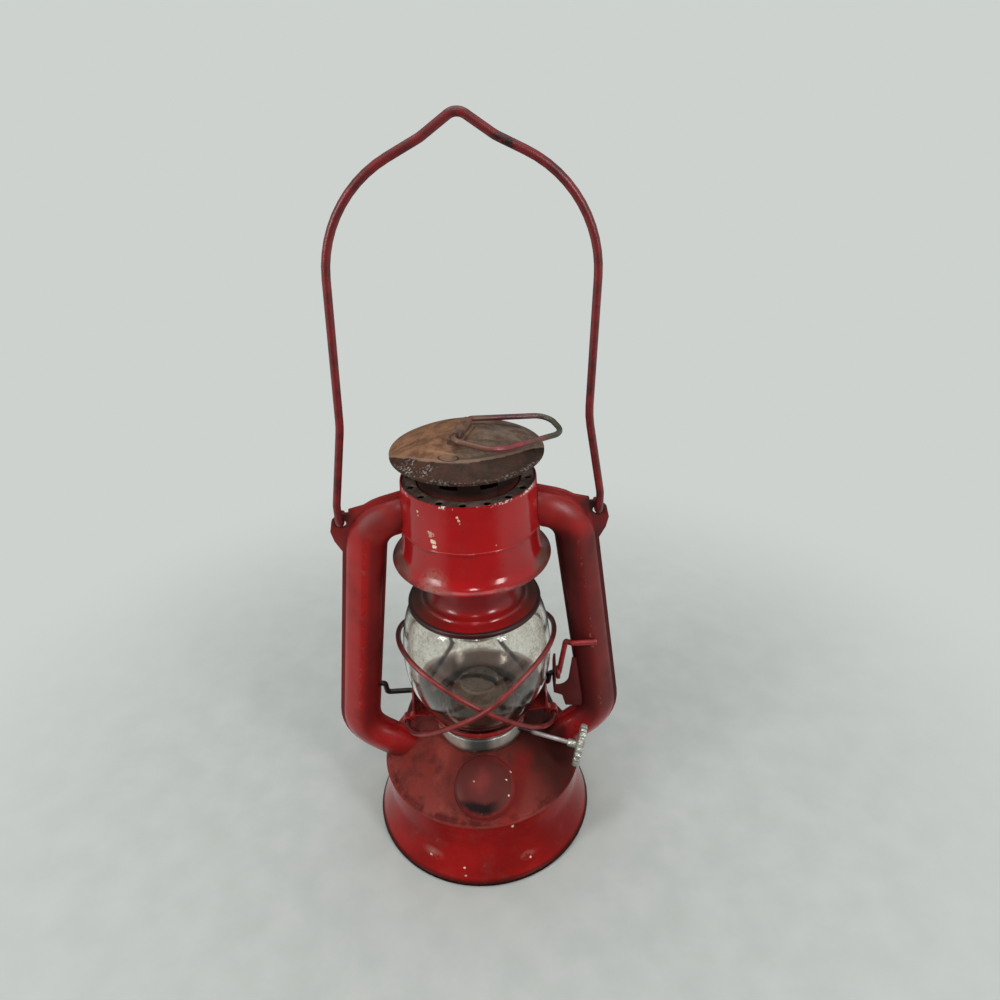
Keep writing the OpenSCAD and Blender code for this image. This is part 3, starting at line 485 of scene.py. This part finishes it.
pressed(burner, 40, 0.1, on_shoulder)
bright_nickel = metal(
    "bright_nickel", "dddcd5", "bfbcb2", roughness=0.32, metallic=0.7, stain=0.25, band=(-0.0015, 0.0075)
)
dress(burner, bright_nickel, "frame", "tarnished_nickel", "burner_base")
soot, place = start_finish("sooty_steel")
smoke, grit = place.noise(120, 5.0), place.noise(1100, 4.0)
across = place.reach()
rings = across.near(0.012, 0.0007) | across.near(0.0083, 0.0007)
colour = smoke.steps(0.35, 0.65).mix(ink("6e5a4c"), ink("46382d"))
set_finish(
    soot,
    Base_Color=(rings * 0.6).mix(colour, ink("8d7c6e")),
    Roughness=(smoke * 0.3 + 0.5).limit(),
    Normal=(smoke + grit * 0.3 + rings * 1.5).bump(0.4, 0.0004),
)
for node in ("burner_deck", "burner_cone"):
    retouched(node, soot, "frame", "sooty_steel")
brass = metal("dull_brass", "a58a4e", "6f5a30", roughness=0.4)
retouched("wick_tube", brass, "frame", "brass")
cotton, place = start_finish("woven_cotton")
weave = {"Vector": place, "Scale": 260.0, "Distortion": 1.0}
weft = place.node("ShaderNodeTexWave", {"bands_direction": "Z"}, weave)
charred = place.axis(2).steps(0.066, 0.0705)
set_finish(
    cotton,
    Base_Color=charred.mix(weft.steps(0.2, 0.8).mix(ink("b5a888"), ink("d9cfb4")), ink("1a1512")),
    Roughness=0.95,
    Normal=weft.bump(0.6, 0.0003),
)
retouched("wick", cotton, "wick", "cotton", edge=0.5)

# Wick winder. Two sprockets on a steel shaft that slopes out to the right of the skirt,
# turned by a plated knob with a scalloped rim.
retouched("wick_gears", brass, "winder", "brass", edge=0.08)
shaft_steel, place = start_finish("shaft_steel")
patches = place.noise(300, 4.0)
# Near its root the shaft is painted near black and not metallic: painted shadow.
root_shadow = 1.0 - place.axis(0).ragged(patches, 0.004).steps(0.021, 0.026)
colour = root_shadow.mix(patches.steps(0.3, 0.7).mix(ink("cfc9c6"), ink("a89f9c")), ink("2a1412"))
set_finish(shaft_steel, Base_Color=colour, Metallic=0.6 - root_shadow * 0.6, Roughness=(patches * 0.2 + 0.25).limit())
retouched("wick_shaft", shaft_steel, "winder", "sooty_steel")
knob_outline = (
    [(1, 0), (1, -4), (1.5, -4), (1.7, -3.7), (1.8, -0.4), (2.4, 0), (8.3, 0)] + arc(8.6, 0.7, 0.7, -90, 0, 4)
    + [(9.35, 1.0), (9.35, 2.0)] + arc(8.6, 2.3, 0.7, 0, 90, 4)
    + [(7.6, 2.75), (5, 2.35), (3.4, 2.55), (1.5, 2.8), (0, 2.85), (0, 0), (1, 0)]
)
knob = turned("winder_knob", knob_outline, steps=220)


def on_rim(r, z):
    return (r - 7.9) / 0.8


pressed(knob, 22, 0.55, on_rim)
aim, droop = math.radians(17), math.radians(9.5)
shaft_set, shaft_z, knob_out = 4.9, 56, 45.6
shaft_turn = Matrix.Rotation(-aim, 3, "Z") @ Matrix.Rotation(math.radians(90) + droop, 3, "Y")
shaft_foot = Vector((-shaft_set * math.sin(aim), -shaft_set * math.cos(aim), shaft_z)) * MM
stand(knob, shaft_turn, shaft_foot + shaft_turn @ Vector((0, 0, knob_out * MM)))
knurled, place = start_finish("knurled_nickel")
patches, fine = place.noise(420, 4.0, 0.65), place.noise(1900, 3.0)
mottle = (patches * 0.65 + fine * 0.35).steps(0.44, 0.58)
set_finish(
    knurled,
    Base_Color=mottle.mix(ink("74776c"), ink("cfcfc4")),
    Metallic=mottle * 0.9,
    Roughness=(0.62 - mottle * 0.3).limit(),
    Normal=(patches + fine * 0.5).bump(0.6, 0.0004),
)
dress(knob, knurled, "winder", "tarnished_nickel", "wick_knob")


# Side tubes. Each is two ridged steel pressings seamed front to back; the outer seam widens at
# the top into the ear that the bail hooks through. They carry air down to the burner.
def tube_stains_and_shade(place, broad, patches, fine):
    x, y, z = place.axes()
    outward = abs(x) - 0.0617 + z * 0.1343
    leg = z.steps(0.046, 0.06) * (1.0 - z.steps(0.146, 0.156))
    nicked = outward.near(0.0002, 0.0011) * (fine * 0.4 + patches * 0.6).steps(0.55, 0.64)
    left_foot = (1.0 - z.ragged(patches, 0.008).steps(0.034, 0.048)) * (1.0 - x.steps(-0.01, 0.0))
    shaded = (1.0 - x.ragged(patches, 0.006).steps(0.036, 0.041)) * x.steps(0.0, 0.01)
    from_front = place.stretched((1, 0, 1))
    return [
        # The inner side of each leg, towards the globe, is painted darker: painted shade.
        (leg * (1.0 - outward.steps(-0.0035, -0.0005)) * 0.55, "3d0c0c"),
        # The outer side of each leg is lightened pink in patches: painted reflection.
        (leg * outward.steps(0.0, 0.002) * (patches * 0.4).limit(), "9a3a36"),
        (broad.steps(0.55, 0.7) * 0.45, "551412"),
        # The right leg is painted darker all over: painted shade.
        (leg * x.steps(0.0, 0.01) * (patches * 0.5 + 0.45).limit(), "3c100e"),
        (z.steps(0.148, 0.164) * (patches * 0.7 + broad * 0.5 - 0.1).limit() * 0.75, "5a231c"),
        (leg * nicked * 0.6, "9a6a5c"),
        ((1.0 - abs(y).steps(0.0008, 0.002)) * outward.steps(0.006, 0.008) * 0.6, "3a120f"),
        ((1.0 - z.steps(0.036, 0.044)) * patches.steps(0.35, 0.6) * 0.7, "4c201b"),
        (left_foot * 0.6, "4a1d18"),
        ((1.0 - z.steps(0.043, 0.051)) * shaded * 0.85, "260908"),
        (from_front.spot((0.0495, 0, 0.1615), 0.003, 0.0085, patches, 0.008) * 0.85, "2e1812"),
        (from_front.spot((-0.0505, 0, 0.161), 0.002, 0.0055, patches, 0.008) * 0.6, "3a1512"),
    ]


tube_red = enamel("tube_red", "a01b1b", "7e1415", wear=0.2, dust=0.25, gloss=0.26, shine=0.28, stains=tube_stains_and_shade)
for side in ("left", "right"):
    for half in ("front", "rear"):
        retouched(f"{side}_tube_{half}", tube_red, "frame", "red_enamel", edge=0.2)
retouched("lever_bracket", tube_red, "frame", "red_enamel", edge=0.2)

# Hood. A drum with a flared brim and a pressed bead, open to both tubes, with a ring plate
# full of vent holes let into its top. A coil spring under the plate presses the chimney down.
hood = turned(
    "hood",
    [(31.75, 142.0), (31.2, 142.2), (30.1, 142.9), (29.1, 144), (28.3, 145.2), (27.75, 146.6)]
    + [(27.4, 151), (27.1, 155.9)] + arc(26.95, 157.0, 0.5, -70, 70, 7)
    + [(27.0, 158.1), (26.5, 167), (26.1, 175.2), (26.0, 175.8), (25.7, 176.0)],
    wall=0.8,
)


def drum_stains(place, broad, patches, fine):
    x, y, z = place.axes()
    brim = 1.0 - z.steps(0.1445, 0.147)
    ends = abs(x).steps(0.021, 0.027)
    scuffed = place.spot((-0.0159, -0.0261, 0.1442), 0.003, 0.0085, patches, 0.012)
    scuffed = scuffed * (fine * 0.35 + patches * 0.65).steps(0.42, 0.58)
    rim = z.steps(0.1746, 0.1756) * (1.0 - y.steps(-0.014, -0.006)) * (patches * 0.5 + fine * 0.5).steps(0.53, 0.58)
    return [
        (brim * ends * (broad * 0.5 + 0.55).limit(), "54443d"),
        ((1.0 - z.steps(0.1421, 0.1433)) * patches.steps(0.4, 0.55) * 0.7, "5a1210"),
        (scuffed * 0.65, "8e6258"),
        (z.near(0.1561, 0.0009) * patches.steps(0.4, 0.6) * 0.5, "5f0f10"),
        (rim, "d8cdc4"),
    ]


drum_nicks = [
    (-14.9, -22.8, 163.6, 1.5), (-14.1, -23.2, 161.2, 1.3), (-13.6, -23.4, 158.9, 0.9), (-4.7, -26.2, 172.2, 0.6),
    (-4.2, -26.3, 170.8, 0.7), (-3.9, -26.3, 169.6, 0.4), (-19.2, -18.4, 171.2, 0.6), (-19.0, -18.6, 169.6, 0.5),
    (-17.3, -20.2, 169.2, 0.5), (9.1, -26, 159.5, 0.5),
]
drum_red = enamel(
    "drum_red", "9c1517", "8a1214", wear=0.12, dust=0.12, gloss=0.13, shine=0.42, stains=drum_stains, chips=drum_nicks
)
dress(hood, drum_red, "frame", "red_enamel", "hood_drum")
vent_brown, place = start_finish("vent_brown")
smoke, grit = place.noise(150, 5.0), place.noise(1200, 4.0)
set_finish(
    vent_brown,
    Base_Color=smoke.steps(0.35, 0.65).mix(ink("6f5c52"), ink("4c3d36")),
    Roughness=(smoke * 0.3 + 0.45).limit(),
    Normal=(smoke + grit * 0.3).bump(0.5, 0.0003),
)
retouched("vent_plate", vent_brown, "frame", "bare_steel")


def wire(name, points, thickness, closed=False, sides=4):
    """Round wire along a route of points in millimetres."""
    bpy.ops.object.select_all(action="DESELECT")
    bpy.ops.curve.primitive_nurbs_path_add()
    piece = bpy.context.object
    piece.name = piece.data.name = name
    piece.data.splines.clear()
    run = piece.data.splines.new("POLY")
    run.points.add(len(points) - 1)
    for spot, p in zip(run.points, points):
        spot.co = (p[0] * MM, p[1] * MM, p[2] * MM, 1)
    run.use_cyclic_u = closed
    piece.data.dimensions = "3D"
    piece.data.bevel_depth, piece.data.bevel_resolution = thickness / 2 * MM, sides
    piece.data.use_fill_caps = not closed
    bpy.ops.object.convert(target="MESH")
    piece = bpy.context.object
    bpy.ops.object.mode_set(mode="EDIT")
    bpy.ops.mesh.select_all(action="SELECT")
    bpy.ops.mesh.remove_doubles(threshold=MM * 0.002)
    bpy.ops.mesh.normals_make_consistent(inside=False)
    bpy.ops.object.mode_set(mode="OBJECT")
    bpy.ops.object.shade_smooth_by_angle(angle=math.radians(50))
    return piece


coil_r, coil_z, coil_rise, coil_wire = 22, 150.8, 22.8, 1.2
coil_end, coil_cut = 10 * math.pi, 0.004


def coil(first, last, steps=120):
    """Points of the chimney spring between two of its angles."""
    angles = (first + (last - first) * i / steps for i in range(steps + 1))
    return [(coil_r * math.cos(a), coil_r * math.sin(a), coil_z + coil_rise * a / coil_end) for a in angles]


# The upper half gives way to the globe's lift, and the lower half, which the globe carries
# up, to the chimney's own, so that the spring fits between plate and collar in every pose.
spring_steel = metal("spring_steel", "77726c", "4a4540")
upper_coil = wire("chimney_coil", coil(coil_end / 2 + coil_cut, coil_end), coil_wire)
lower_coil = wire("chimney_coil_low", coil(0, coil_end / 2 - coil_cut), coil_wire)
dress(upper_coil, spring_steel, "frame", "bare_steel", "chimney_spring")
dress(lower_coil, spring_steel, "globe_carrier", "bare_steel")
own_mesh(upper_coil)
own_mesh(lower_coil)

# Chimney. A slotted tube under a domed cap, riveted to a flared collar that sits on the
# globe's neck; the cap is bare rust where the paint has burnt off.
burnt, place = start_finish("burnt_red")
smoke, grit = place.noise(110, 5.0), place.noise(1000, 4.0)
scorched = smoke.steps(0.4, 0.62).mix(ink("54241c"), ink("381a13"))
# The tube's top, under the cap's rim, is painted near black: painted shadow of the cap.
set_finish(
    burnt,
    Base_Color=place.axis(2).steps(0.1745, 0.178).mix(scorched, ink("1f120e")),
    Roughness=(smoke * 0.3 + 0.4).limit(),
    Specular_IOR_Level=0.12,
    Normal=(smoke + grit * 0.3).bump(0.4, 0.0004),
)
retouched("chimney_tube", burnt, "chimney", "sooty_steel")
collar = turned(
    "globe_collar",
    [(26.5, 118.4), (27.3, 118.4), (27.5, 118.7), (27.5, 119.7), (27.3, 120.2), (26.8, 120.5), (25.5, 120.75)]
    + [(23.5, 121.1), (22.2, 121.35), (22.0, 121.5), (21.85, 121.85), (21.55, 122.15), (21.1, 122.35)]
    + [(20.5, 122.45), (19.9, 122.6), (19.2, 123.0), (18.6, 123.7), (18.1, 124.8), (17.75, 126.2), (17.7, 127.2)]
    + [(17.7, 148.4), (18.0, 149.0), (18.6, 149.2), (24.0, 149.2), (24.4, 149.6), (24.0, 150.0)]
    + [(16.9, 150.0), (16.9, 126.6), (17.3, 124.7), (18.3, 123.1), (19.6, 121.9), (21.3, 121.1)]
    + [(22.7, 120.8), (23.4, 120.6), (24.4, 120.0), (25.8, 119.8), (26.5, 119.6), (26.5, 118.4)],
)


def collar_stains_and_shade(place, broad, patches, fine):
    x, y, across = place.axis(0), place.axis(1), place.reach()
    saucer = across.steps(0.0178, 0.0186)
    return [
        # The neck, under the hood's brim, is painted darker red: painted shade.
        ((1.0 - saucer) * 0.7, "63171a"),
        # The saucer turns grey-brown towards both sides and towards the back.
        (saucer * abs(x).ragged(broad, 0.008).steps(0.007, 0.026) * (broad * 0.5 + 0.6).limit(), "3d2a22"),
        (saucer * y.steps(-0.016, 0.004) * 0.8, "35261f"),
        (across.steps(0.0258, 0.0266) * (patches * 0.3 + 0.8).limit(), "260c0b"),
    ]


collar_red = enamel(
    "collar_red", "9c1b1b", "841718", wear=0.15, dust=0.2, gloss=0.16, shine=0.4, stains=collar_stains_and_shade
)
dress(collar, collar_red, "chimney", "red_enamel", "chimney_collar")
dome_r, dome_z, dome_rise = 29, 187, 8
fold_bow, fold_slant, fold_front = 0.0215, 0.0275, 21.1
fold_height, front_run, back_run = 1.1, 11, 8
leaf_x, leaf_y, leaf_lean, leaf_long, leaf_wide, leaf_depth = -6.6, -18.1, 0.27, 3.7, 1.8, 0.3
dent_x, dent_y, dent_spread, dent_depth = 12, 4, 60, 0.5
dome = [(dome_r * (1 - k / 24), dome_z + dome_rise * (1 - (1 - k / 24) ** 2)) for k in range(25)]
cap = turned("chimney_dome", [(28.6, 185.8), (dome_r, 186.2)] + dome, wall=0.8, steps=200)


def before_fold(x, y):
    """How far a point of the cap lies in front of the crease across it, in millimetres."""
    return fold_bow * x * x + fold_slant * x - fold_front - y


for v in cap.data.vertices:
    x, y = v.co.x / MM, v.co.y / MM
    ahead_of = before_fold(x, y)
    inner = max(0.0, 1 - (math.hypot(x, y) / dome_r) ** 4)
    leaf = ((x - leaf_x) / leaf_long) ** 2 + ((y - leaf_y + leaf_lean * (x - leaf_x)) / leaf_wide) ** 2
    v.co.z += MM * inner * fold_height * max(0.0, 1 - abs(ahead_of) / (front_run if ahead_of > 0 else back_run))
    v.co.z -= MM * leaf_depth * max(0.0, 1 - leaf) ** 0.5
    v.co.z -= MM * inner * dent_depth * math.exp(-((x - dent_x) ** 2 + (y - dent_y) ** 2) / dent_spread)
rust, place = start_finish("rusty_cap")
broad, patches, fine = place.noise(42, 5.0), place.noise(190, 6.0, 0.65), place.noise(1100, 4.0)
x, y = place.axis(0), place.axis(1)
ahead_of = (x * x * (fold_bow / MM) + x * fold_slant - fold_front * MM - y).ragged(patches, 0.0024)
lip = ahead_of.steps(-0.0006, 0.0008)
orange = ((broad - 0.5) * 0.02 - x + y * 0.2 + 0.001).steps(-0.012, 0.012)
blotch = patches.steps(0.3, 0.7)
colour = orange.mix(blotch.mix(ink("6c5c50"), ink("483c33")), blotch.mix(ink("866046"), ink("604432")))
streaks = place.stretched((70, 420, 70)).noise(1.0, 4.0).steps(0.58, 0.68)
colour = (streaks * 0.55).mix(colour, ink("3d2a1e"))
colour = (broad * 0.5 + patches * 0.5).steps(0.52, 0.62).mix(colour, ink("5a3d2c"))
# The bent-down lip before the crease is painted dark brown: painted shade.
colour = (lip * 0.9).mix(colour, patches.steps(0.35, 0.65).mix(ink("30190f"), ink("20130d")))
# A pale line along the crease: painted highlight.
colour = (ahead_of.near(-0.0002, 0.0009) * 0.6).mix(colour, ink("7d6657"))
aside = x - leaf_x * MM
along, athwart = aside / (leaf_long * MM), (y - leaf_y * MM + aside * leaf_lean) / (leaf_wide * MM)
leaf = x.math("POWER", along, 2.0) + x.math("POWER", athwart, 2.0)
# The dent's outline is painted dark, strongest on its lower side: painted shade.
colour = (leaf.near(0.9, 0.3) * (y * -600.0 - 9.4).limit() * 0.9).mix(colour, ink("261a15"))
# A pale line along a second fold: painted highlight.
ridge = (y + 0.0113 + (x + 0.0144) * 0.58).near(0.0, 0.0007)
ridge = ridge * x.steps(-0.0155, -0.013) * (1.0 - x.steps(-0.005, -0.003))
colour = (ridge * 0.4).mix(colour, ink("98795a"))
left_pale = place.spot((-0.0205, -0.0165, 0.188), 0.002, 0.0055, patches, 0.01)
front_pale = place.spot((-0.0145, -0.0205, 0.188), 0.001, 0.005, patches, 0.01)
edge = place.reach().steps(0.0276, 0.0284) * (1.0 - (y + 0.012).steps(-0.002, 0.004)) * 0.35
fleck = (left_pale | front_pale | edge) * (patches * 0.4 + fine * 0.6).steps(0.52, 0.6)
specks = (fine * 0.6 + patches * 0.4).steps(0.6, 0.66)
colour = (specks * 0.8).mix(colour, ink("261a15"))
colour = fleck.mix(colour, ink("96908a"))
set_finish(
    rust,
    Base_Color=colour,
    Roughness=(patches * 0.25 + 0.42).limit(),
    Normal=(broad * 0.5 + patches + fine * 0.4).bump(0.5, 0.0006),
    Specular_IOR_Level=0.15,
)
dress(cap, rust, "chimney", "rusty_steel", "chimney_cap")
clip_rust, place = start_finish("clip_rust")
patches, fine = place.noise(260, 6.0, 0.65), place.noise(1200, 4.0)
set_finish(
    clip_rust,
    Base_Color=patches.steps(0.35, 0.65).mix(ink("6a4a36"), ink("332721")),
    Roughness=(patches * 0.3 + 0.5).limit(),
    Normal=(patches + fine * 0.4).bump(0.8, 0.0006),
)
retouched("ring_clip", clip_rust, "chimney", "rusty_steel", edge=0.25)


def bend(a, p, b, radius, step=6):
    """Points round one corner of a wire, from the run a-p to the run p-b."""
    a, p, b = Vector(a), Vector(p), Vector(b)
    u, v = (a - p).normalized(), (b - p).normalized()
    spread = u.angle(v)
    turn = math.pi - spread
    centre = p + (u + v).normalized() * radius / math.sin(spread / 2)
    e = (p + u * radius / math.tan(spread / 2) - centre).normalized()
    f = (p + v * radius / math.tan(spread / 2) - centre).normalized()
    n = max(2, math.ceil(math.degrees(turn) / step))
    shares = [(math.sin(turn * (1 - k / n)), math.sin(turn * k / n)) for k in range(n + 1)]
    return [centre + radius * (s * e + t * f) / math.sin(turn) for s, t in shares]


def bent(knots):
    """A run of straight stretches with rounded corners, from (point, radius) knots."""
    points = [Vector(knots[0][0])]
    for before, here, after in zip(knots, knots[1:], knots[2:]):
        points += bend(before[0], here[0], after[0], here[1])
    return points + [Vector(knots[-1][0])]


ring_turn = Matrix.Rotation(math.radians(-20), 3, "Z") @ Matrix.Rotation(math.radians(10), 3, "Y")
ring_seat, ring_wire = Vector((0, 0, 196.9)), 2.2
ring_knots = [
    ((0, -5, 0), 0), ((0, 5, 0), 3), ((25.5, 25, 0), 6), ((34.5, 13.5, 0), 7),
    ((16, -15, 0), 12), ((0, -15, 0), 3), ((0, -10, 0), 0),
]
ring = wire("lift_loop", [ring_turn @ p + ring_seat for p in bent(ring_knots)], ring_wire, closed=True)


def worn_wire(name, light, bare, amount, stains=None):
    """Painted wire, rubbed through to dark steel in stretches."""
    look, place = start_finish(name)
    broad, patches, fine = place.noise(30, 3.0), place.noise(190, 5.0, 0.6), place.noise(1300, 3.0)
    colour = patches.steps(0.35, 0.7).mix(ink(light), (*[c * 0.45 for c in ink(light)[:3]], 1.0))
    for mask, code in stains(place, broad, patches, fine) if stains else ():
        colour = mask.mix(colour, ink(code))
    rubbed = (broad * 0.6 + patches * 0.35 + fine * 0.15).steps(0.7 - amount * 0.25, 0.76 - amount * 0.25)
    set_finish(
        look,
        Base_Color=rubbed.mix(colour, ink(bare)),
        Roughness=(patches * 0.25 + 0.25).limit(),
        Normal=(patches + fine * 0.3).bump(0.5, 0.0003),
    )
    return look


def loop_stains(place, broad, patches, fine):
    x, y = place.axis(0), place.axis(1)
    return [
        (y.steps(0.002, 0.006) * 0.9, "4a1719"),
        ((1.0 - x.ragged(patches, 0.01).steps(0.004, 0.012)) * 0.9, "5a3d2d"),
        (x.ragged(patches, 0.006).steps(0.018, 0.024) * 0.7, "5c3f38"),
        (x.ragged(patches, 0.004).steps(0.027, 0.031), "3c3b2d"),
    ]


loop_paint = worn_wire("loop_paint", "7c3032", "46352b", 0.25, loop_stains)
dress(ring, loop_paint, "lift_ring", "rusty_steel", "lift_ring")

# Globe carrier. A rimmed plate with a wing at each side, the blown glass globe standing in
# it, and two crossed guard wires held in the wings' eyes.
plate_red = enamel("plate_red", "8f1c1c", "5c1312", wear=0.2, dust=0.4, gloss=0.24)
retouched("globe_plate", plate_red, "globe_carrier", "red_enamel")
globe_r, globe_mid, globe_wall = 31.7, 92, 1.8
globe_low, globe_high, foot_r, neck_r = 28.9, 27, 20, 24


def bulge(r0, u, full):
    """Radius of the globe at a share u of the way from its middle to an end of radius r0."""
    return r0 + (globe_r - r0) * (1 - u * u) ** full


fine_steps = [k / 20 for k in range(21)]
barrel = [(foot_r, 60.85)] + [(bulge(foot_r, 1 - u, 0.7), globe_mid - (1 - u) * globe_low) for u in fine_steps]
barrel += [(bulge(neck_r, u, 0.5), globe_mid + u * globe_high) for u in fine_steps[1:]]
barrel += [(23.8, 119.3), (23.5, 119.6)]
inside = [(r - globe_wall, z) for r, z in reversed(barrel[1:-2])]
globe = turned("glass_globe", barrel + [(22.4, 119.6)] + inside + [(18.2, 61.0), (18.5, 60.85), (foot_r, 60.85)])
glass, place = start_finish("clear_glass")
haze = place.noise(55, 5.0)
drips = place.stretched((90, 90, 14)).noise(1.0, 4.0)
grit = place.noise(700, 5.0, 0.7)
dirt = (haze * 0.5 + drips * 0.5).steps(0.38, 0.7)
specks = (grit * 0.75 + haze * 0.25).steps(0.5, 0.6) * (dirt * 0.6 + 0.4)
x, z = place.axis(0), place.axis(2)
film = 1.0 - (z - x * x * 7.5).ragged(haze, 0.003).steps(0.068, 0.069)
colour = dirt.mix(ink("fffdf8"), ink("efe9df"))
colour = (specks * 0.8).mix(colour, ink("a39a8e"))
colour = film.mix(colour, haze.steps(0.4, 0.6).mix(ink("725c55"), ink("604d48")))
set_finish(
    glass,
    Base_Color=colour,
    Roughness=(dirt * 0.05 + specks * 0.05 + film * 0.1 + 0.04).limit(),
    IOR=1.45,
    Transmission_Weight=1.0,
)
dress(globe, glass, "globe_carrier", "glass", "globe")


def guard_stains(place, broad, patches, fine):
    return [(place.axis(1).ragged(patches, 0.01).steps(-0.02, -0.006) * 0.85, "3a1412")]


guard_paint = worn_wire("guard_paint", "7c1c19", "33201b", 0.2, guard_stains)
guard_r, guard_mid, guard_wire = 33.2, 79.7, 2.2
guard_swing, guard_lean, guard_sag = 24.7, 5.7, 2.0
for guard, node, tilt, lap in (("guard_one", "guard_wire_a", -1, 2.6), ("guard_two", "guard_wire_b", 1, 0)):
    route = []
    for i in range(120):
        a = math.radians(3 * i)
        r = guard_r + lap * abs(math.sin(a)) ** 12
        z = guard_mid - tilt * guard_swing * math.cos(a) - guard_lean * math.sin(a) - guard_sag * math.cos(2 * a)
        route.append((r * math.cos(a), r * math.sin(a), z))
    dress(wire(guard, route, guard_wire, closed=True), guard_paint, "globe_carrier", "dark_red_wire", node)

# Globe lift. Two crank wires pass through slots in the carrier's wings; the right one ends
# in the hub of a hooked lever that is pressed down in front of the tube.
pivot_z, crank_arm, crank_lean, crank_bend = 75, 10, math.radians(25), 1.6
lift_wire, tube_half, hub_x, pin_end = 2.4, 7.25, 34.6, 27.8
hook_y, hook_z = -8.85, 98.3
crank_low, crank_y = pivot_z - crank_arm * math.cos(crank_lean), crank_arm * math.sin(crank_lean)


def tube_x(z):
    """Middle of a side tube's sloping leg at a height."""
    return 40.6 + 14.1 * (157.1 - z) / 105


left_end = tube_x(pivot_z) - tube_half
black_wire = worn_wire("black_wire", "17120f", "0e0b0a", 0.5)
for crank, node, flip, bearing, elbow in (
    ("left_crank", "lift_crank_left", -1, left_end + 2, left_end - lift_wire - 0.4),
    ("right_crank", "lift_crank_right", 1, hub_x, 31.6),
):
    knots = [
        ((bearing, 0, pivot_z), 0), ((elbow, 0, pivot_z), crank_bend),
        ((elbow, crank_y, crank_low), crank_bend), ((pin_end, crank_y, crank_low), 0),
    ]
    route = [(flip * p.x, p.y, p.z) for p in bent(knots)]
    dress(wire(crank, route, lift_wire), black_wire, "lift", "sooty_steel", node)
lever_tip = tube_x(hook_z) + 2
lever_bend = lever_tip - tube_half - lift_wire / 2 - 2
lever_knots = [
    ((35.9, 0, pivot_z), 0), ((lever_bend - 2, -3.54, 95.3), 3),
    ((lever_bend, hook_y, hook_z), 2.5), ((lever_tip, hook_y, hook_z), 0),
]
lever = wire("lever_hook", bent(lever_knots), lift_wire)
hub_outline = [(0, 0), (2.6, 0)] + arc(2.6, 0.4, 0.4, -90, 0, 3) + arc(2.6, 1.2, 0.4, 0, 90, 3) + [(0, 1.6)]
hub = turned("lever_hub", hub_outline, steps=48)
stand(hub, Matrix.Rotation(math.radians(90), 3, "Y"), (hub_x * MM, 0, pivot_z * MM))
lever_paint = worn_wire("lever_paint", "9a2422", "33201b", 0.2)
dress(lever, lever_paint, "lift", "dark_red_wire", "lift_lever")
hub.data.materials.append(lever_paint)
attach(hub, "lift")

# Bail. One length of painted wire, hooked up through both ears, drawn in above the cap and
# raised at the middle into a hump that sits on a hook.
ear_x, ear_z, hook_r, bail_wire, crown_x = 50.5, 161, 3.1, 3.0, 2.25
hook_turns = [math.radians(11.25 * k) for k in range(16)]
hook = [(ear_x, hook_r * math.cos(a), ear_z - hook_r * math.sin(a)) for a in hook_turns]


def bail_leg(s):
    """Knots of one leg from its ear to the crown; the crown leans to the right."""
    corners = [
        (s * ear_x, ear_z, 0), (s * ear_x, 167, 12), (s * 45.2, 199, 40),
        (s * 44.8 + 3, 276.3, 42), (s * 11.5 + crown_x, 292.5, 14),
    ]
    return [((x, -hook_r, z), radius) for x, z, radius in corners]


run = bent(bail_leg(-1) + [((crown_x, -hook_r, 300.3), 5)] + bail_leg(1)[::-1])
bail = wire("wire_bail", [(-x, y, z) for x, y, z in hook] + run + hook[::-1], bail_wire, sides=5)
bail_paint = worn_wire("bail_paint", "6b1618", "200e0c", 0.12)
dress(bail, bail_paint, "bail", "dark_red_wire", "bail")
